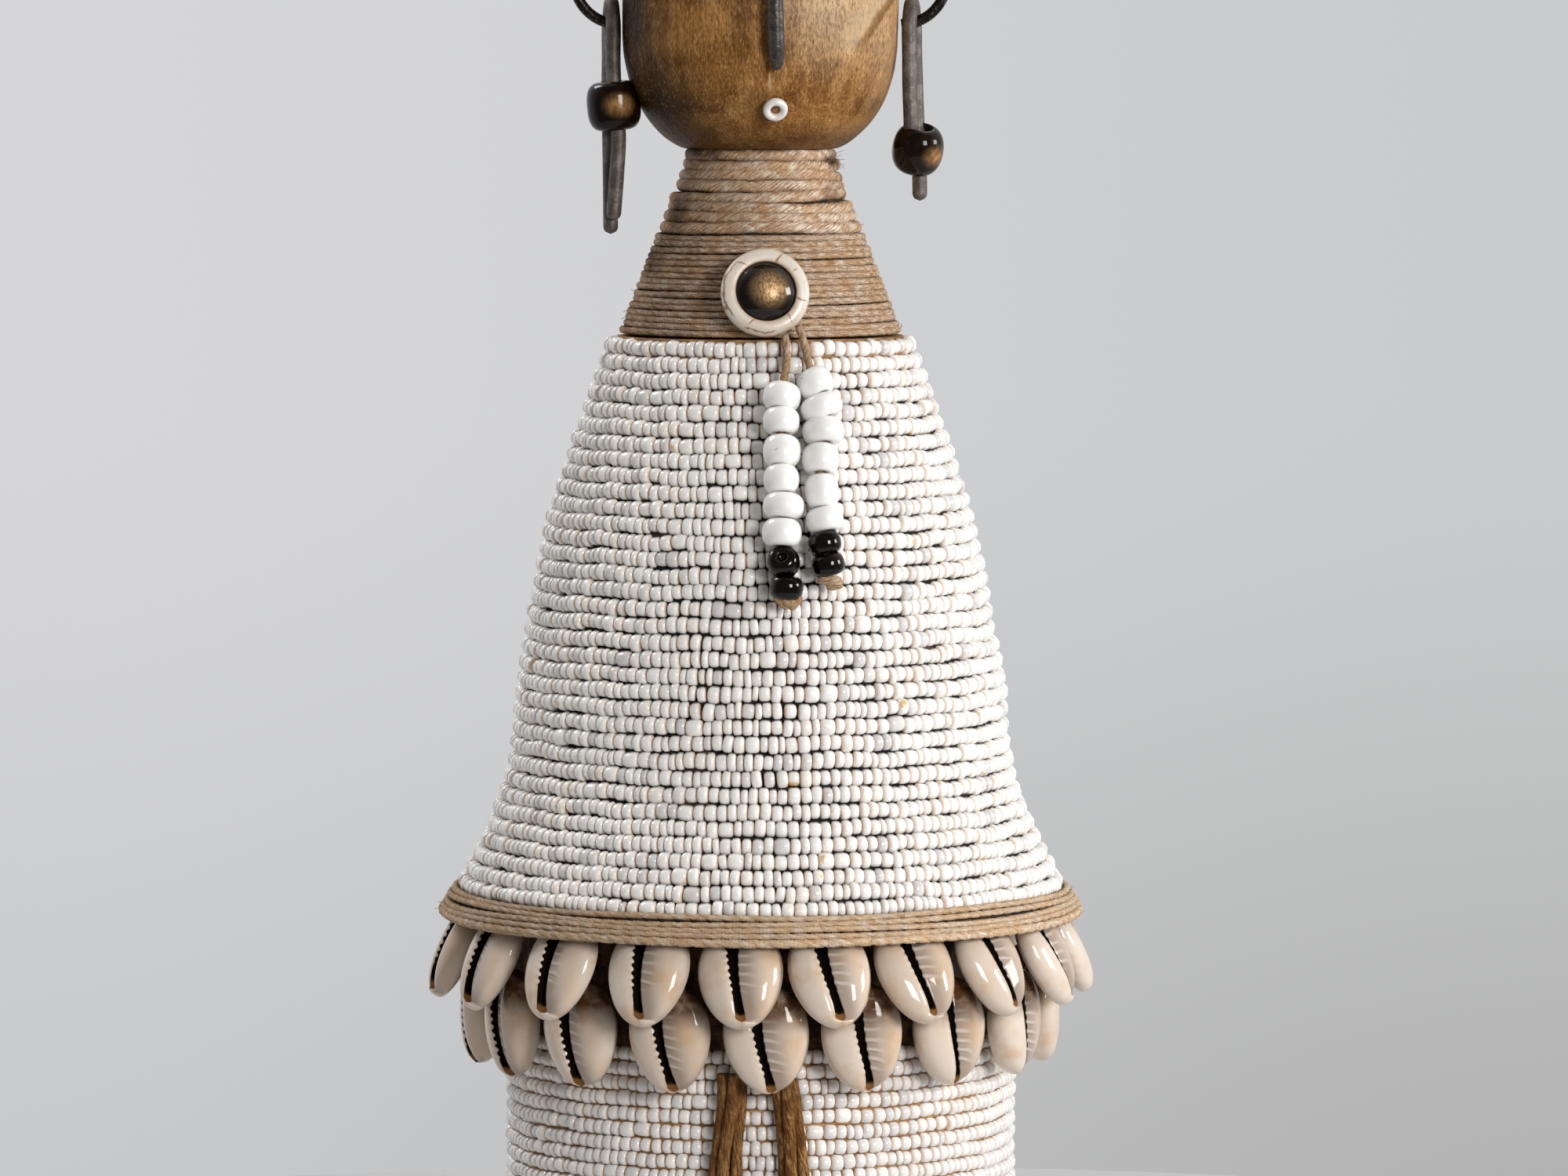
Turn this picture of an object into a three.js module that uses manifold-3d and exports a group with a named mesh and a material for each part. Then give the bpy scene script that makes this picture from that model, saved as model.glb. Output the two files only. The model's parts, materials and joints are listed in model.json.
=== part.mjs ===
// Namji doll: a carved wooden head on a twine-wound neck, a flared body covered in rows of
// white seed beads, a twine hem, two rows of cowrie shells and a beaded cylinder below.
// Millimetres, +Z up, the face looks towards -Y, the origin is under the middle of the base.
import * as THREE from 'three';
import { mergeVertices } from 'three/addons/utils/BufferGeometryUtils.js';
import Module from 'manifold-3d';

const wasm = await Module();
wasm.setup();

// Driving sizes
const GAP = 0.3;
const DEGREE = Math.PI / 180;

const BASE_RADIUS = 46;
const BASE_HEIGHT = 8;

const BODY_RADIUS = 46.7;
const BODY_ROWS = 21;
const BODY_PITCH = 2.7;
const BODY_TOP = 95;

const CAPE_BOTTOM = 95.3;
const CAPE_TOP = 195.9;
const CAPE_ROWS = 35;
const ROW_DEPTH = 0.9;
// Height and outer radius of the beaded cape, from the hem up to the neck
const CAPE_OUTLINE = [
  [95.3, 55.8],
  [100.1, 53.2],
  [106.6, 50.1],
  [115.2, 46.9],
  [132.5, 44.8],
  [149.7, 41.7],
  [163.4, 38.9],
  [180, 33.5],
  [195.9, 27.8],
];

const NECK_BOTTOM = 196.2;
const NECK_CHANGE = 214.5;
const NECK_TOP = 229.6;
const NECK_FINE_WRAPS = 13;
const NECK_THICK_WRAPS = 8;
const NECK_OUTLINE = [
  [196.2, 25.9],
  [205.4, 22.4],
  [216.7, 18],
  [221.8, 15.8],
  [229.6, 13.4],
];

const HEAD_BOTTOM = 229.9;
const HEAD_CHEEK = 256.8;
const HEAD_TEMPLE = 264;
const HEAD_TOP = 289.5;
const HEAD_RADIUS = 25.2;
const CHIN_RADIUS = 13;
const CREST_FOOT = 272;
const CREST_TOP = 296;
const CREST_WIDTH = 10;
const CREST_REACH = 23;
const FACE_TURN = 5.7 * DEGREE;
const NOSE_TOP = 272;
const NOSE_BOTTOM = 244.8;
const NOSE_RADIUS = 1.5;
const NOSE_STAND = HEAD_RADIUS + GAP + NOSE_RADIUS;
const FACE_BEAD_RADIUS = 2.25;
const FACE_BEAD_HOLE = 0.85;
const FACE_BEAD_HEIGHT = 1.6;

const HEM_BOTTOM = 90;
const HEM_TOP = 95;
const HEM_WRAPS = 4;
const HEM_RADIUS = 59;
const HEM_INNER = 57.65;

const UPPER_SHELLS = 19;
const LOWER_SHELLS = 17;
const SHELL_LENGTH = 19.5;

const HOOP_HEIGHT = 260.7;
const HOOP_CENTRE = 25.6;
const HOOP_RADIUS = 8.3;
const HOOP_WIRE = 1.1;
const LINK_WIRE = 1.4;
const LINK_BEND = 3.2;
const LINK_TOP_REACH = 27.3;
const LINK_TOP_HEIGHT = 253;
const LINK_CLOSE = 0.6;
const EAR_BEAD_RADIUS = 4.9;
const EAR_BEAD_HEIGHT = 8.9;
const EAR_BEAD_BORE = 2.4;

const RING_RADIUS = 8;
const RING_HOLE = 5.45;
const RING_THICKNESS = 3.5;
const RING_HEIGHT = 204.4;
const RING_DEPTH = 26.2;
const RING_LEAN = 14 * DEGREE;
const RING_SIDE_TURN = 7 * DEGREE;
const STUD_RADIUS = RING_HOLE - GAP;
const CORD_RADIUS = 0.7;
const KNOT_LENGTH = 3.6;
const KNOT_RADIUS = 1.9;
const STRAND_BORE = 1.3;
const TASSEL_OFF = 1.7;
const TASSEL_WIDTH = 5.6;
const TASSEL_THICKNESS = 2.4;

// Finishes
function finish(colour, roughness, metalness = 0) {
  return new THREE.MeshStandardMaterial({ color: colour, roughness, metalness });
}
const HEAD_WOOD = finish(0x8f6138, 0.45);
const DARK_WOOD = finish(0x2e1a10, 0.25);
const STEEL = finish(0x55504c, 0.45, 0.9);
const TWINE = finish(0xb08d64, 0.9);
const WHITE_BEAD = finish(0xd6d4d1, 0.25);
const PENDANT_BEAD = finish(0xe4e3e0, 0.25);
const SHELL = finish(0xd2c2ae, 0.25);
const BONE = finish(0xe3dcd2, 0.4);
const BRONZE = finish(0x3d2c1a, 0.3, 0.9);
const BASE_WOOD = finish(0x6b4527, 0.55);

const doll = new THREE.Group();

function add(name, geometry, material, parent = doll) {
  const mesh = new THREE.Mesh(geometry, material);
  mesh.name = name;
  parent.add(mesh);
  return mesh;
}

// A closed solid turned about Z from pairs of radius and height, with a corner on the X axis.
function turned(outline, sides) {
  const points = outline.map(([radius, height]) => new THREE.Vector2(radius, height));
  const start = sides % 4 === 0 ? 0 : Math.PI / sides;
  return new THREE.LatheGeometry(points, sides, start).rotateX(Math.PI / 2);
}

// A smooth radius for any height, through pairs of height and radius.
function smoothRadius(outline) {
  const heights = outline.map((pair) => pair[0]);
  const radii = outline.map((pair) => pair[1]);
  const curve = new THREE.CubicInterpolant(heights, radii, 1, [0]);
  return (height) => curve.evaluate(height)[0];
}

// Rows of beads or wraps of twine as a ribbed outline: a groove, then a crest, row by row.
function ribs(radiusAt, bottom, top, rows, depth) {
  const pitch = (top - bottom) / rows;
  const outline = [];
  for (let row = 0; row < rows; row += 1) {
    const groove = bottom + row * pitch;
    const crest = groove + pitch / 2;
    outline.push([radiusAt(groove) - depth, groove]);
    outline.push([radiusAt(crest), crest]);
  }
  return outline;
}

// Joins of closed solids
function toManifold(geometry) {
  const bare = new THREE.BufferGeometry();
  bare.setAttribute('position', geometry.getAttribute('position').clone());
  bare.setIndex(geometry.getIndex());
  const merged = mergeVertices(bare, 1e-3);
  const corners = merged.getIndex().array;
  const kept = [];
  for (let i = 0; i < corners.length; i += 3) {
    const [a, b, c] = [corners[i], corners[i + 1], corners[i + 2]];
    if (a !== b && b !== c && c !== a) {
      kept.push(a, b, c);
    }
  }
  const vertProperties = new Float32Array(merged.getAttribute('position').array);
  const triVerts = new Uint32Array(kept);
  return new wasm.Manifold(new wasm.Mesh({ numProp: 3, vertProperties, triVerts }));
}

function fromManifold(solid) {
  const mesh = solid.getMesh();
  const geometry = new THREE.BufferGeometry();
  geometry.setAttribute('position', new THREE.BufferAttribute(mesh.vertProperties, 3));
  geometry.setIndex(new THREE.BufferAttribute(mesh.triVerts, 1));
  geometry.computeVertexNormals();
  return geometry;
}

function joined(parts) {
  return fromManifold(parts.map(toManifold).reduce((whole, part) => whole.add(part)));
}

// A polygon section with a corner on each axis direction.
function section(width, thickness, sides) {
  const shape = new THREE.Shape();
  for (let side = 0; side < sides; side += 1) {
    const angle = (side / sides) * 2 * Math.PI;
    const across = (width / 2) * Math.cos(angle);
    const through = (thickness / 2) * Math.sin(angle);
    if (side === 0) {
      shape.moveTo(across, through);
    } else {
      shape.lineTo(across, through);
    }
  }
  return shape;
}

function wire(points, radius, sides, steps) {
  const path = new THREE.CatmullRomCurve3(points);
  const round = section(2 * radius, 2 * radius, sides);
  return new THREE.ExtrudeGeometry(round, { steps, bevelEnabled: false, extrudePath: path });
}

function point(x, y, z) {
  return new THREE.Vector3(x, y, z);
}

// A turned solid bent along a path: its axis height becomes the distance along the path.
function bent(outline, sides, path) {
  const solid = turned(outline, sides);
  const place = solid.getAttribute('position');
  const length = path.getLength();
  for (let i = 0; i < place.count; i += 1) {
    const share = THREE.MathUtils.clamp(place.getZ(i) / length, 0, 1);
    const along = path.getTangentAt(share);
    const side = point(1, 0, 0).addScaledVector(along, -along.x).normalize();
    const out = new THREE.Vector3().crossVectors(along, side);
    const spot = path.getPointAt(share);
    spot.addScaledVector(side, place.getX(i)).addScaledVector(out, place.getY(i));
    place.setXYZ(i, spot.x, spot.y, spot.z);
  }
  return solid;
}

// Base and beadwork
const capeRadius = smoothRadius(CAPE_OUTLINE);
const neckRadius = smoothRadius(NECK_OUTLINE);

add('base', turned([
  [0, 0],
  [BASE_RADIUS - 1, 0],
  [BASE_RADIUS, 1],
  [BASE_RADIUS, BASE_HEIGHT - 1],
  [BASE_RADIUS - 1, BASE_HEIGHT],
  [0, BASE_HEIGHT],
], 20), BASE_WOOD);

const bodyBottom = BASE_HEIGHT + GAP;
const bodyRowsTop = bodyBottom + BODY_ROWS * BODY_PITCH;
add('body_beadwork', turned([
  [0, bodyBottom],
  ...ribs(() => BODY_RADIUS, bodyBottom, bodyRowsTop, BODY_ROWS, ROW_DEPTH),
  [BODY_RADIUS - ROW_DEPTH, bodyRowsTop],
  [BODY_RADIUS - ROW_DEPTH, BODY_TOP],
  [0, BODY_TOP],
], 16), WHITE_BEAD);

add('cape_beadwork', turned([
  [0, CAPE_BOTTOM],
  ...ribs(capeRadius, CAPE_BOTTOM, CAPE_TOP, CAPE_ROWS, ROW_DEPTH),
  [capeRadius(CAPE_TOP) - ROW_DEPTH, CAPE_TOP],
  [0, CAPE_TOP],
], 18), WHITE_BEAD);

// Twine on the neck and at the hem
add('neck_twine', turned([
  [0, NECK_BOTTOM],
  ...ribs(neckRadius, NECK_BOTTOM, NECK_CHANGE, NECK_FINE_WRAPS, 0.4),
  ...ribs(neckRadius, NECK_CHANGE, NECK_TOP, NECK_THICK_WRAPS, 0.6),
  [neckRadius(NECK_TOP) - 0.6, NECK_TOP],
  [0, NECK_TOP],
], 10), TWINE);

add('hem_twine', turned([
  [HEM_INNER, HEM_BOTTOM],
  ...ribs(() => HEM_RADIUS, HEM_BOTTOM, HEM_TOP, HEM_WRAPS, 0.6),
  [HEM_RADIUS - 0.6, HEM_TOP],
  [HEM_INNER, HEM_TOP],
  [HEM_INNER, HEM_BOTTOM],
], 24), TWINE);

// Cowrie shells
// One shell with its length along Y, the slit side towards +Z and the back towards -Z.
// Six lines run from end to end: the slit, a lip and a flank on each side, and the back.
const SHELL_SECTION = [
  [0, 0.35],
  [0.22, 1],
  [1, 0.1],
  [0, -1],
  [-1, 0.1],
  [-0.22, 1],
];
// Place along the half length, then the share of full width and of full height there
const SHELL_RINGS = [
  [1, 0, 0],
  [0.72, 0.72, 0.8],
  [0.05, 1, 1],
  [-0.72, 0.62, 0.8],
  [-1, 0, 0],
];

function cowrie(length, width, front, back) {
  const lines = SHELL_SECTION.length;
  const shell = new THREE.SphereGeometry(1, lines, SHELL_RINGS.length - 1);
  const place = shell.getAttribute('position');
  for (let i = 0; i < place.count; i += 1) {
    const [along, wide, high] = SHELL_RINGS[Math.floor(i / (lines + 1))];
    const [across, up] = SHELL_SECTION[(i % (lines + 1)) % lines];
    const height = up * high * (up > 0 ? front : back);
    place.setXYZ(i, (across * wide * width) / 2, (along * length) / 2, height);
  }
  return shell;
}

// Shells sit a little unevenly, closer at the front, as they were sewn by hand.
function upperAngle(index) {
  return -5.4 + (360 / UPPER_SHELLS) * index + 3.9 * Math.cos((4 * Math.PI * (index + 1.6)) / UPPER_SHELLS);
}

function lowerAngle(index) {
  return 1.3 + (360 / LOWER_SHELLS) * index - 2.9 * Math.sin((4 * Math.PI * index) / LOWER_SHELLS);
}

function shellRow(row, count, angleAt, place, leanAt) {
  for (let index = 0; index < count; index += 1) {
    const spot = new THREE.Group();
    const angle = angleAt(index);
    spot.rotation.z = angle * DEGREE;
    doll.add(spot);
    const name = `cowrie_${row}_${String(index + 1).padStart(2, '0')}`;
    const geometry = cowrie(SHELL_LENGTH, place.width, place.front, place.back);
    const mesh = add(name, geometry, SHELL, spot);
    mesh.position.set(0, -place.radius, place.height);
    mesh.rotation.set(Math.PI / 2 - place.tilt, 0, leanAt(angle) * DEGREE);
  }
}

const UPPER_PLACE = { radius: 55.5, height: 84.6, tilt: 25 * DEGREE, width: 15, front: 3.7, back: 2.6 };
const LOWER_PLACE = { radius: 51.7, height: 73.1, tilt: 0, width: 15.4, front: 3.6, back: 4.4 };
shellRow('upper', UPPER_SHELLS, upperAngle, UPPER_PLACE, (angle) => 7 * Math.sin(angle * DEGREE) + 3);
shellRow('lower', LOWER_SHELLS, lowerAngle, LOWER_PLACE, () => 4);

// Head with its crest
function headOutline() {
  const outline = [[0, HEAD_BOTTOM]];
  const chinSteps = 5;
  const domeSteps = 5;
  for (let step = 0; step <= chinSteps; step += 1) {
    const fall = Math.cos((step / chinSteps) * (Math.PI / 2));
    const height = HEAD_CHEEK - fall * (HEAD_CHEEK - HEAD_BOTTOM);
    outline.push([CHIN_RADIUS + (HEAD_RADIUS - CHIN_RADIUS) * (1 - fall ** 3) ** 0.77, height]);
  }
  for (let step = 0; step < domeSteps; step += 1) {
    const turn = (step / domeSteps) * (Math.PI / 2);
    const height = HEAD_TEMPLE + (HEAD_TOP - HEAD_TEMPLE) * Math.sin(turn) ** 0.9;
    outline.push([HEAD_RADIUS * Math.cos(turn) ** 0.75, height]);
  }
  outline.push([0, HEAD_TOP]);
  return outline;
}

// A low rounded ridge from the brow over the dome to the nape.
function crest() {
  const ridge = new THREE.Shape();
  ridge.moveTo(CREST_REACH, CREST_FOOT);
  ridge.absellipse(0, CREST_FOOT, CREST_REACH, CREST_TOP - CREST_FOOT, 0, Math.PI, false);
  const rounding = 1.5;
  const slab = new THREE.ExtrudeGeometry(ridge, {
    depth: CREST_WIDTH - 2 * rounding,
    curveSegments: 6,
    bevelThickness: rounding,
    bevelSize: rounding,
    bevelOffset: -rounding,
    bevelSegments: 1,
  });
  slab.translate(0, 0, rounding - CREST_WIDTH / 2);
  slab.rotateX(Math.PI / 2);
  slab.rotateZ(Math.PI / 2 + FACE_TURN);
  return slab;
}

add('head', joined([turned(headOutline(), 18), crest()]), HEAD_WOOD);

// Face
const face = new THREE.Group();
face.rotation.z = FACE_TURN;
doll.add(face);

add('nose_bar', wire([
  point(0, 0.7 - NOSE_STAND, NOSE_BOTTOM),
  point(0, -NOSE_STAND, NOSE_BOTTOM + 8),
  point(0, -NOSE_STAND, NOSE_TOP - 6),
  point(0, 0.6 - NOSE_STAND, NOSE_TOP),
], NOSE_RADIUS, 8, 6), STEEL, face);

// A small ring bead that lies flat against the wood.
function addFaceBead(name, turn, radius, height, slope) {
  const spot = new THREE.Group();
  spot.rotation.z = turn * DEGREE;
  face.add(spot);
  const bead = add(name, turned([
    [FACE_BEAD_HOLE, 0],
    [FACE_BEAD_RADIUS, 0.5],
    [FACE_BEAD_RADIUS - 0.5, FACE_BEAD_HEIGHT],
    [FACE_BEAD_HOLE, FACE_BEAD_HEIGHT],
    [FACE_BEAD_HOLE, 0],
  ], 8), WHITE_BEAD, spot);
  bead.position.set(0, -radius, height);
  bead.rotation.x = Math.PI / 2 + slope * DEGREE;
}

addFaceBead('mouth_bead', 1, 22.9, 237.5, 28);
addFaceBead('eye_bead_left', -22, HEAD_RADIUS + GAP, 263, 0);
addFaceBead('eye_bead_right', 22, HEAD_RADIUS + GAP, 263, 0);

// Ear ornaments
// A hoop is half a ring of wire that goes into the wood above and below the ear.
function earHoop(side) {
  const points = [];
  const steps = 8;
  for (let step = 0; step <= steps; step += 1) {
    const turn = (step / steps - 0.5) * Math.PI;
    const across = HOOP_CENTRE + HOOP_RADIUS * Math.cos(turn);
    points.push(point(side * across, 0, HOOP_HEIGHT + HOOP_RADIUS * Math.sin(turn)));
  }
  return wire(points, HOOP_WIRE, 6, 8);
}

// A hairpin has two legs that run from the bend on the hoop down through the bead.
// The first end is that of the leg in front.
function earLink(side, bead, ends) {
  const bend = point(side * LINK_TOP_REACH, 0, LINK_TOP_HEIGHT);
  const legs = [-1, 1].map((leg) => wire([
    point(side * bead.reach, bead.y + leg * LINK_CLOSE, leg < 0 ? ends[0] : ends[1]),
    point(side * bead.reach, bead.y + leg * LINK_CLOSE, bead.height),
    point(side * bead.reach, bead.y + leg * LINK_CLOSE * 1.2, bead.height + 5),
    point(bend.x, leg * LINK_BEND * 0.85, bend.z - 4.5),
    point(bend.x, leg * LINK_BEND, bend.z),
    point(bend.x, leg * LINK_BEND * 0.7, bend.z + LINK_BEND * 0.72),
    point(bend.x, -leg * 0.8, bend.z + LINK_BEND - 0.1),
  ], LINK_WIRE, 6, 9));
  return joined(legs);
}

function earBead() {
  const half = EAR_BEAD_HEIGHT / 2;
  return turned([
    [EAR_BEAD_BORE, -half],
    [EAR_BEAD_RADIUS * 0.68, -half],
    [EAR_BEAD_RADIUS, -half * 0.35],
    [EAR_BEAD_RADIUS, half * 0.35],
    [EAR_BEAD_RADIUS * 0.68, half],
    [EAR_BEAD_BORE, half],
    [EAR_BEAD_BORE, -half],
  ], 10);
}

const EAR_PLACES = [
  { label: 'left', side: -1, bead: { reach: 27.5, y: -4, height: 237.7 }, ends: [214.4, 216.8] },
  { label: 'right', side: 1, bead: { reach: 28.7, y: -1.5, height: 229.8 }, ends: [220.4, 220.6] },
];
for (const { label, side, bead, ends } of EAR_PLACES) {
  add(`ear_hoop_${label}`, earHoop(side), STEEL);
  add(`ear_link_${label}`, earLink(side, bead, ends), STEEL);
  add(`ear_bead_${label}`, earBead(), DARK_WOOD).position.set(side * bead.reach, bead.y, bead.height);
}

// Pendant on the neck
const pendant = new THREE.Group();
pendant.position.set(0.9, -RING_DEPTH, RING_HEIGHT);
pendant.rotation.set(Math.PI / 2 - RING_LEAN, RING_SIDE_TURN, 0);
doll.add(pendant);

add('pendant_ring', turned([
  [RING_HOLE, -RING_THICKNESS / 2],
  [RING_RADIUS - 0.5, -RING_THICKNESS / 2],
  [RING_RADIUS, RING_THICKNESS / 4],
  [RING_RADIUS - 0.8, RING_THICKNESS / 2],
  [RING_HOLE, RING_THICKNESS / 2],
  [RING_HOLE, -RING_THICKNESS / 2],
], 16), BONE, pendant);

add('pendant_stud', turned([
  [0, -1],
  [STUD_RADIUS, -1],
  [STUD_RADIUS, 1.2],
  [STUD_RADIUS * 0.6, 3.5],
  [0, 4.2],
], 12), BRONZE, pendant);

// Cords with their beads, lying on the beaded cape
// A place on the front of the cape: across in X, height in Z, and the distance off the beads.
function onCape(across, height, off) {
  const reach = capeRadius(Math.min(height, CAPE_TOP)) + off;
  return point(across, -Math.sqrt(reach * reach - across * across), height);
}

const LEFT_CORD = [
  [4.6, 196.4, 1.1],
  [4.7, 193, 1.4],
  [4.4, 189.5, 2.6],
  [4, 185, 3.8],
  [3.8, 178, 3.8],
  [3.7, 171, 3.8],
  [3.9, 164, 3.8],
  [4.2, 157, 3.8],
  [4.8, 151.5, 3.4],
  [5.1, 148.6, 2.6],
];
const RIGHT_CORD = [
  [6.6, 198.6, 1.6],
  [7.9, 195, 1.4],
  [9.1, 191.6, 2.6],
  [10.1, 187.5, 3.8],
  [11, 182, 3.8],
  [11, 175, 3.8],
  [11.2, 168, 3.8],
  [11.6, 161, 3.8],
  [12.2, 155.5, 3.4],
  [12.7, 152.3, 2.6],
];
// Height and radius of each bead from the top down
const LEFT_BEADS = [[4.9, 3.4], [4.9, 3.35], [5.1, 3.3], [5.1, 3.2], [4.4, 3.65], [5, 3.55], [4.8, 3], [4.1, 2.9]];
const RIGHT_BEADS = [[4.8, 3.15], [4.6, 3.7], [4.6, 3.7], [5, 3.3], [5.8, 3.1], [4.7, 3.3], [4.5, 3], [4.1, 3]];

// The beads of one cord touch at their ends, and the bore follows the cord.
function strandBeads(path, first, beads) {
  const outer = [];
  const inner = [];
  let reached = first;
  for (const [height, radius] of beads) {
    outer.push([radius * 0.5, reached]);
    outer.push([radius, reached + height * 0.3]);
    outer.push([radius, reached + height * 0.7]);
    inner.unshift([STRAND_BORE, reached]);
    reached += height;
  }
  outer.push([outer[0][0], reached]);
  inner.unshift([STRAND_BORE, reached]);
  return bent([...outer, ...inner, outer[0]], 6, path);
}

// The cord runs inside the bore and ends in a knot.
function strandCord(path) {
  const length = path.getLength();
  const outline = [[0, 0]];
  const steps = 12;
  for (let step = 0; step <= steps; step += 1) {
    outline.push([CORD_RADIUS, (step / steps) * (length - KNOT_LENGTH)]);
  }
  outline.push([KNOT_RADIUS, length - KNOT_LENGTH * 0.7]);
  outline.push([KNOT_RADIUS, length - KNOT_LENGTH * 0.3]);
  outline.push([0, length]);
  return bent(outline, 8, path);
}

const STRANDS = [
  { label: 'left', points: LEFT_CORD, first: 8.4, beads: LEFT_BEADS },
  { label: 'right', points: RIGHT_CORD, first: 8.6, beads: RIGHT_BEADS },
];
for (const { label, points, first, beads } of STRANDS) {
  const path = new THREE.CatmullRomCurve3(points.map((place) => onCape(...place)));
  add(`pendant_cord_${label}`, strandCord(path), TWINE);
  add(`pendant_beads_${label}`, strandBeads(path, first, beads), PENDANT_BEAD);
}

// Twine bundles that hang in front of the lower beadwork, three strands side by side
const TASSELS = {
  left: [[-7, 66.5], [-5.6, 60], [-5.6, 52], [-6.3, 42], [-6.7, 28], [-6.4, 14]],
  right: [[5, 64], [5.2, 58], [5.7, 50], [6, 40], [5.6, 28], [5.9, 16]],
};
for (const [label, places] of Object.entries(TASSELS)) {
  const reach = BODY_RADIUS + TASSEL_OFF;
  const points = places.map(([x, z]) => point(x, -Math.sqrt(reach * reach - x * x), z));
  const path = new THREE.CatmullRomCurve3(points);
  const flat = section(TASSEL_THICKNESS, TASSEL_WIDTH, 8);
  const bundle = new THREE.ExtrudeGeometry(flat, { steps: 8, bevelEnabled: false, extrudePath: path });
  add(`tassel_${label}`, bundle, TWINE);
}

export default doll;
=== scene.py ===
# %% [markdown]
# # A namji doll
# The doll has a turned wooden head on a neck wound with twine. Its body is a cone of white seed
# beads over a hem of twine, two rows of cowrie shells and a straight beaded cylinder.
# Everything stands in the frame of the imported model: Z is up, the face looks towards -Y and the
# origin lies under the middle of the base. The lengths below are millimetres, and each piece is
# scaled to metres as it is finished.

# %% Frame and tools
import json
import math
import random

import bmesh
import bpy
import numpy as np
from mathutils import Matrix, Vector, noise

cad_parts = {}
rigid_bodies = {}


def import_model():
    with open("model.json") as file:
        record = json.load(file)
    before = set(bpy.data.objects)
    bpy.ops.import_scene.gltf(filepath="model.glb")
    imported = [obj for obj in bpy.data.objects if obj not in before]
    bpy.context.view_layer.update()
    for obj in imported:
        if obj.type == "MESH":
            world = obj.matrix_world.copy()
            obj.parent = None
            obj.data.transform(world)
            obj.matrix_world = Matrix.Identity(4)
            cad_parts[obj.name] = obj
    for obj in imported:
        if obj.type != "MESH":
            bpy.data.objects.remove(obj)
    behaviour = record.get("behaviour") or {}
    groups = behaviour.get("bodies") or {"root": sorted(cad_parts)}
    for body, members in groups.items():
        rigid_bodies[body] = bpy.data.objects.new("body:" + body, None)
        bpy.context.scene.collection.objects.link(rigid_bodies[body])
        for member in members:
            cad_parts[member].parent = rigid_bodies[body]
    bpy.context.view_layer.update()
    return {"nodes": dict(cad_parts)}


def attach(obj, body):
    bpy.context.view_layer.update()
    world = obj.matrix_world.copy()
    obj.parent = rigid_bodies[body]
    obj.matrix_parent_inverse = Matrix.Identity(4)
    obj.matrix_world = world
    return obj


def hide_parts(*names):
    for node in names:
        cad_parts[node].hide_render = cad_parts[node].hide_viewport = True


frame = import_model()
MM = 0.001
ROOT = "root"


def in_metres(lengths):
    return [float(length) * MM for length in lengths]


def rotated(degrees, axis):
    return Matrix.Rotation(math.radians(degrees), 4, axis)


print("CAD nodes:", len(frame["nodes"]))

# %% [markdown]
# ## Camera
# The photograph was taken with a long lens from the height of the neck, looking slightly down.
# A real camera position and focal length give the same perspective, so the bottom of the doll
# and the top of its head fall outside the picture as they do there.

# %% Camera
CAMERA_PLACE = (0.00429, -1.5, 0.2483)
CAMERA_DOWN = 0.06562
CAMERA_LENS = 189.0
SENSOR_WIDTH = 36.0

camera_data = bpy.data.cameras.new("photograph_view")
camera_data.lens = CAMERA_LENS
camera_data.sensor_width = SENSOR_WIDTH
camera_data.sensor_fit = "HORIZONTAL"
camera_data.clip_start = 0.01
camera = bpy.data.objects.new("photograph_view", camera_data)
camera.location = CAMERA_PLACE
camera.rotation_euler = (math.pi / 2 - CAMERA_DOWN, 0, 0)
bpy.context.scene.collection.objects.link(camera)
bpy.context.scene.camera = camera
bpy.context.scene.view_settings.view_transform = "Standard"
print("camera lens:", camera_data.lens, "mm")

# %% [markdown]
# ## Helpers for materials
# Every finish is a Principled shader whose colour and roughness come from noise in object
# space, so that a pattern keeps its real size. A short class places the nodes of one tree, and
# a second one lays colours over each other, as a painter would. They keep each material
# readable as a list of what is done to the surface.

# %% Node helpers
def tint(red, green, blue):
    """A colour given as it looks on a screen, from 0 to 255, made linear."""
    shares = [value / 255 for value in (red, green, blue)]
    linear = [s / 12.92 if s <= 0.04045 else ((s + 0.055) / 1.055) ** 2.4 for s in shares]
    return (*linear, 1.0)


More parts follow.
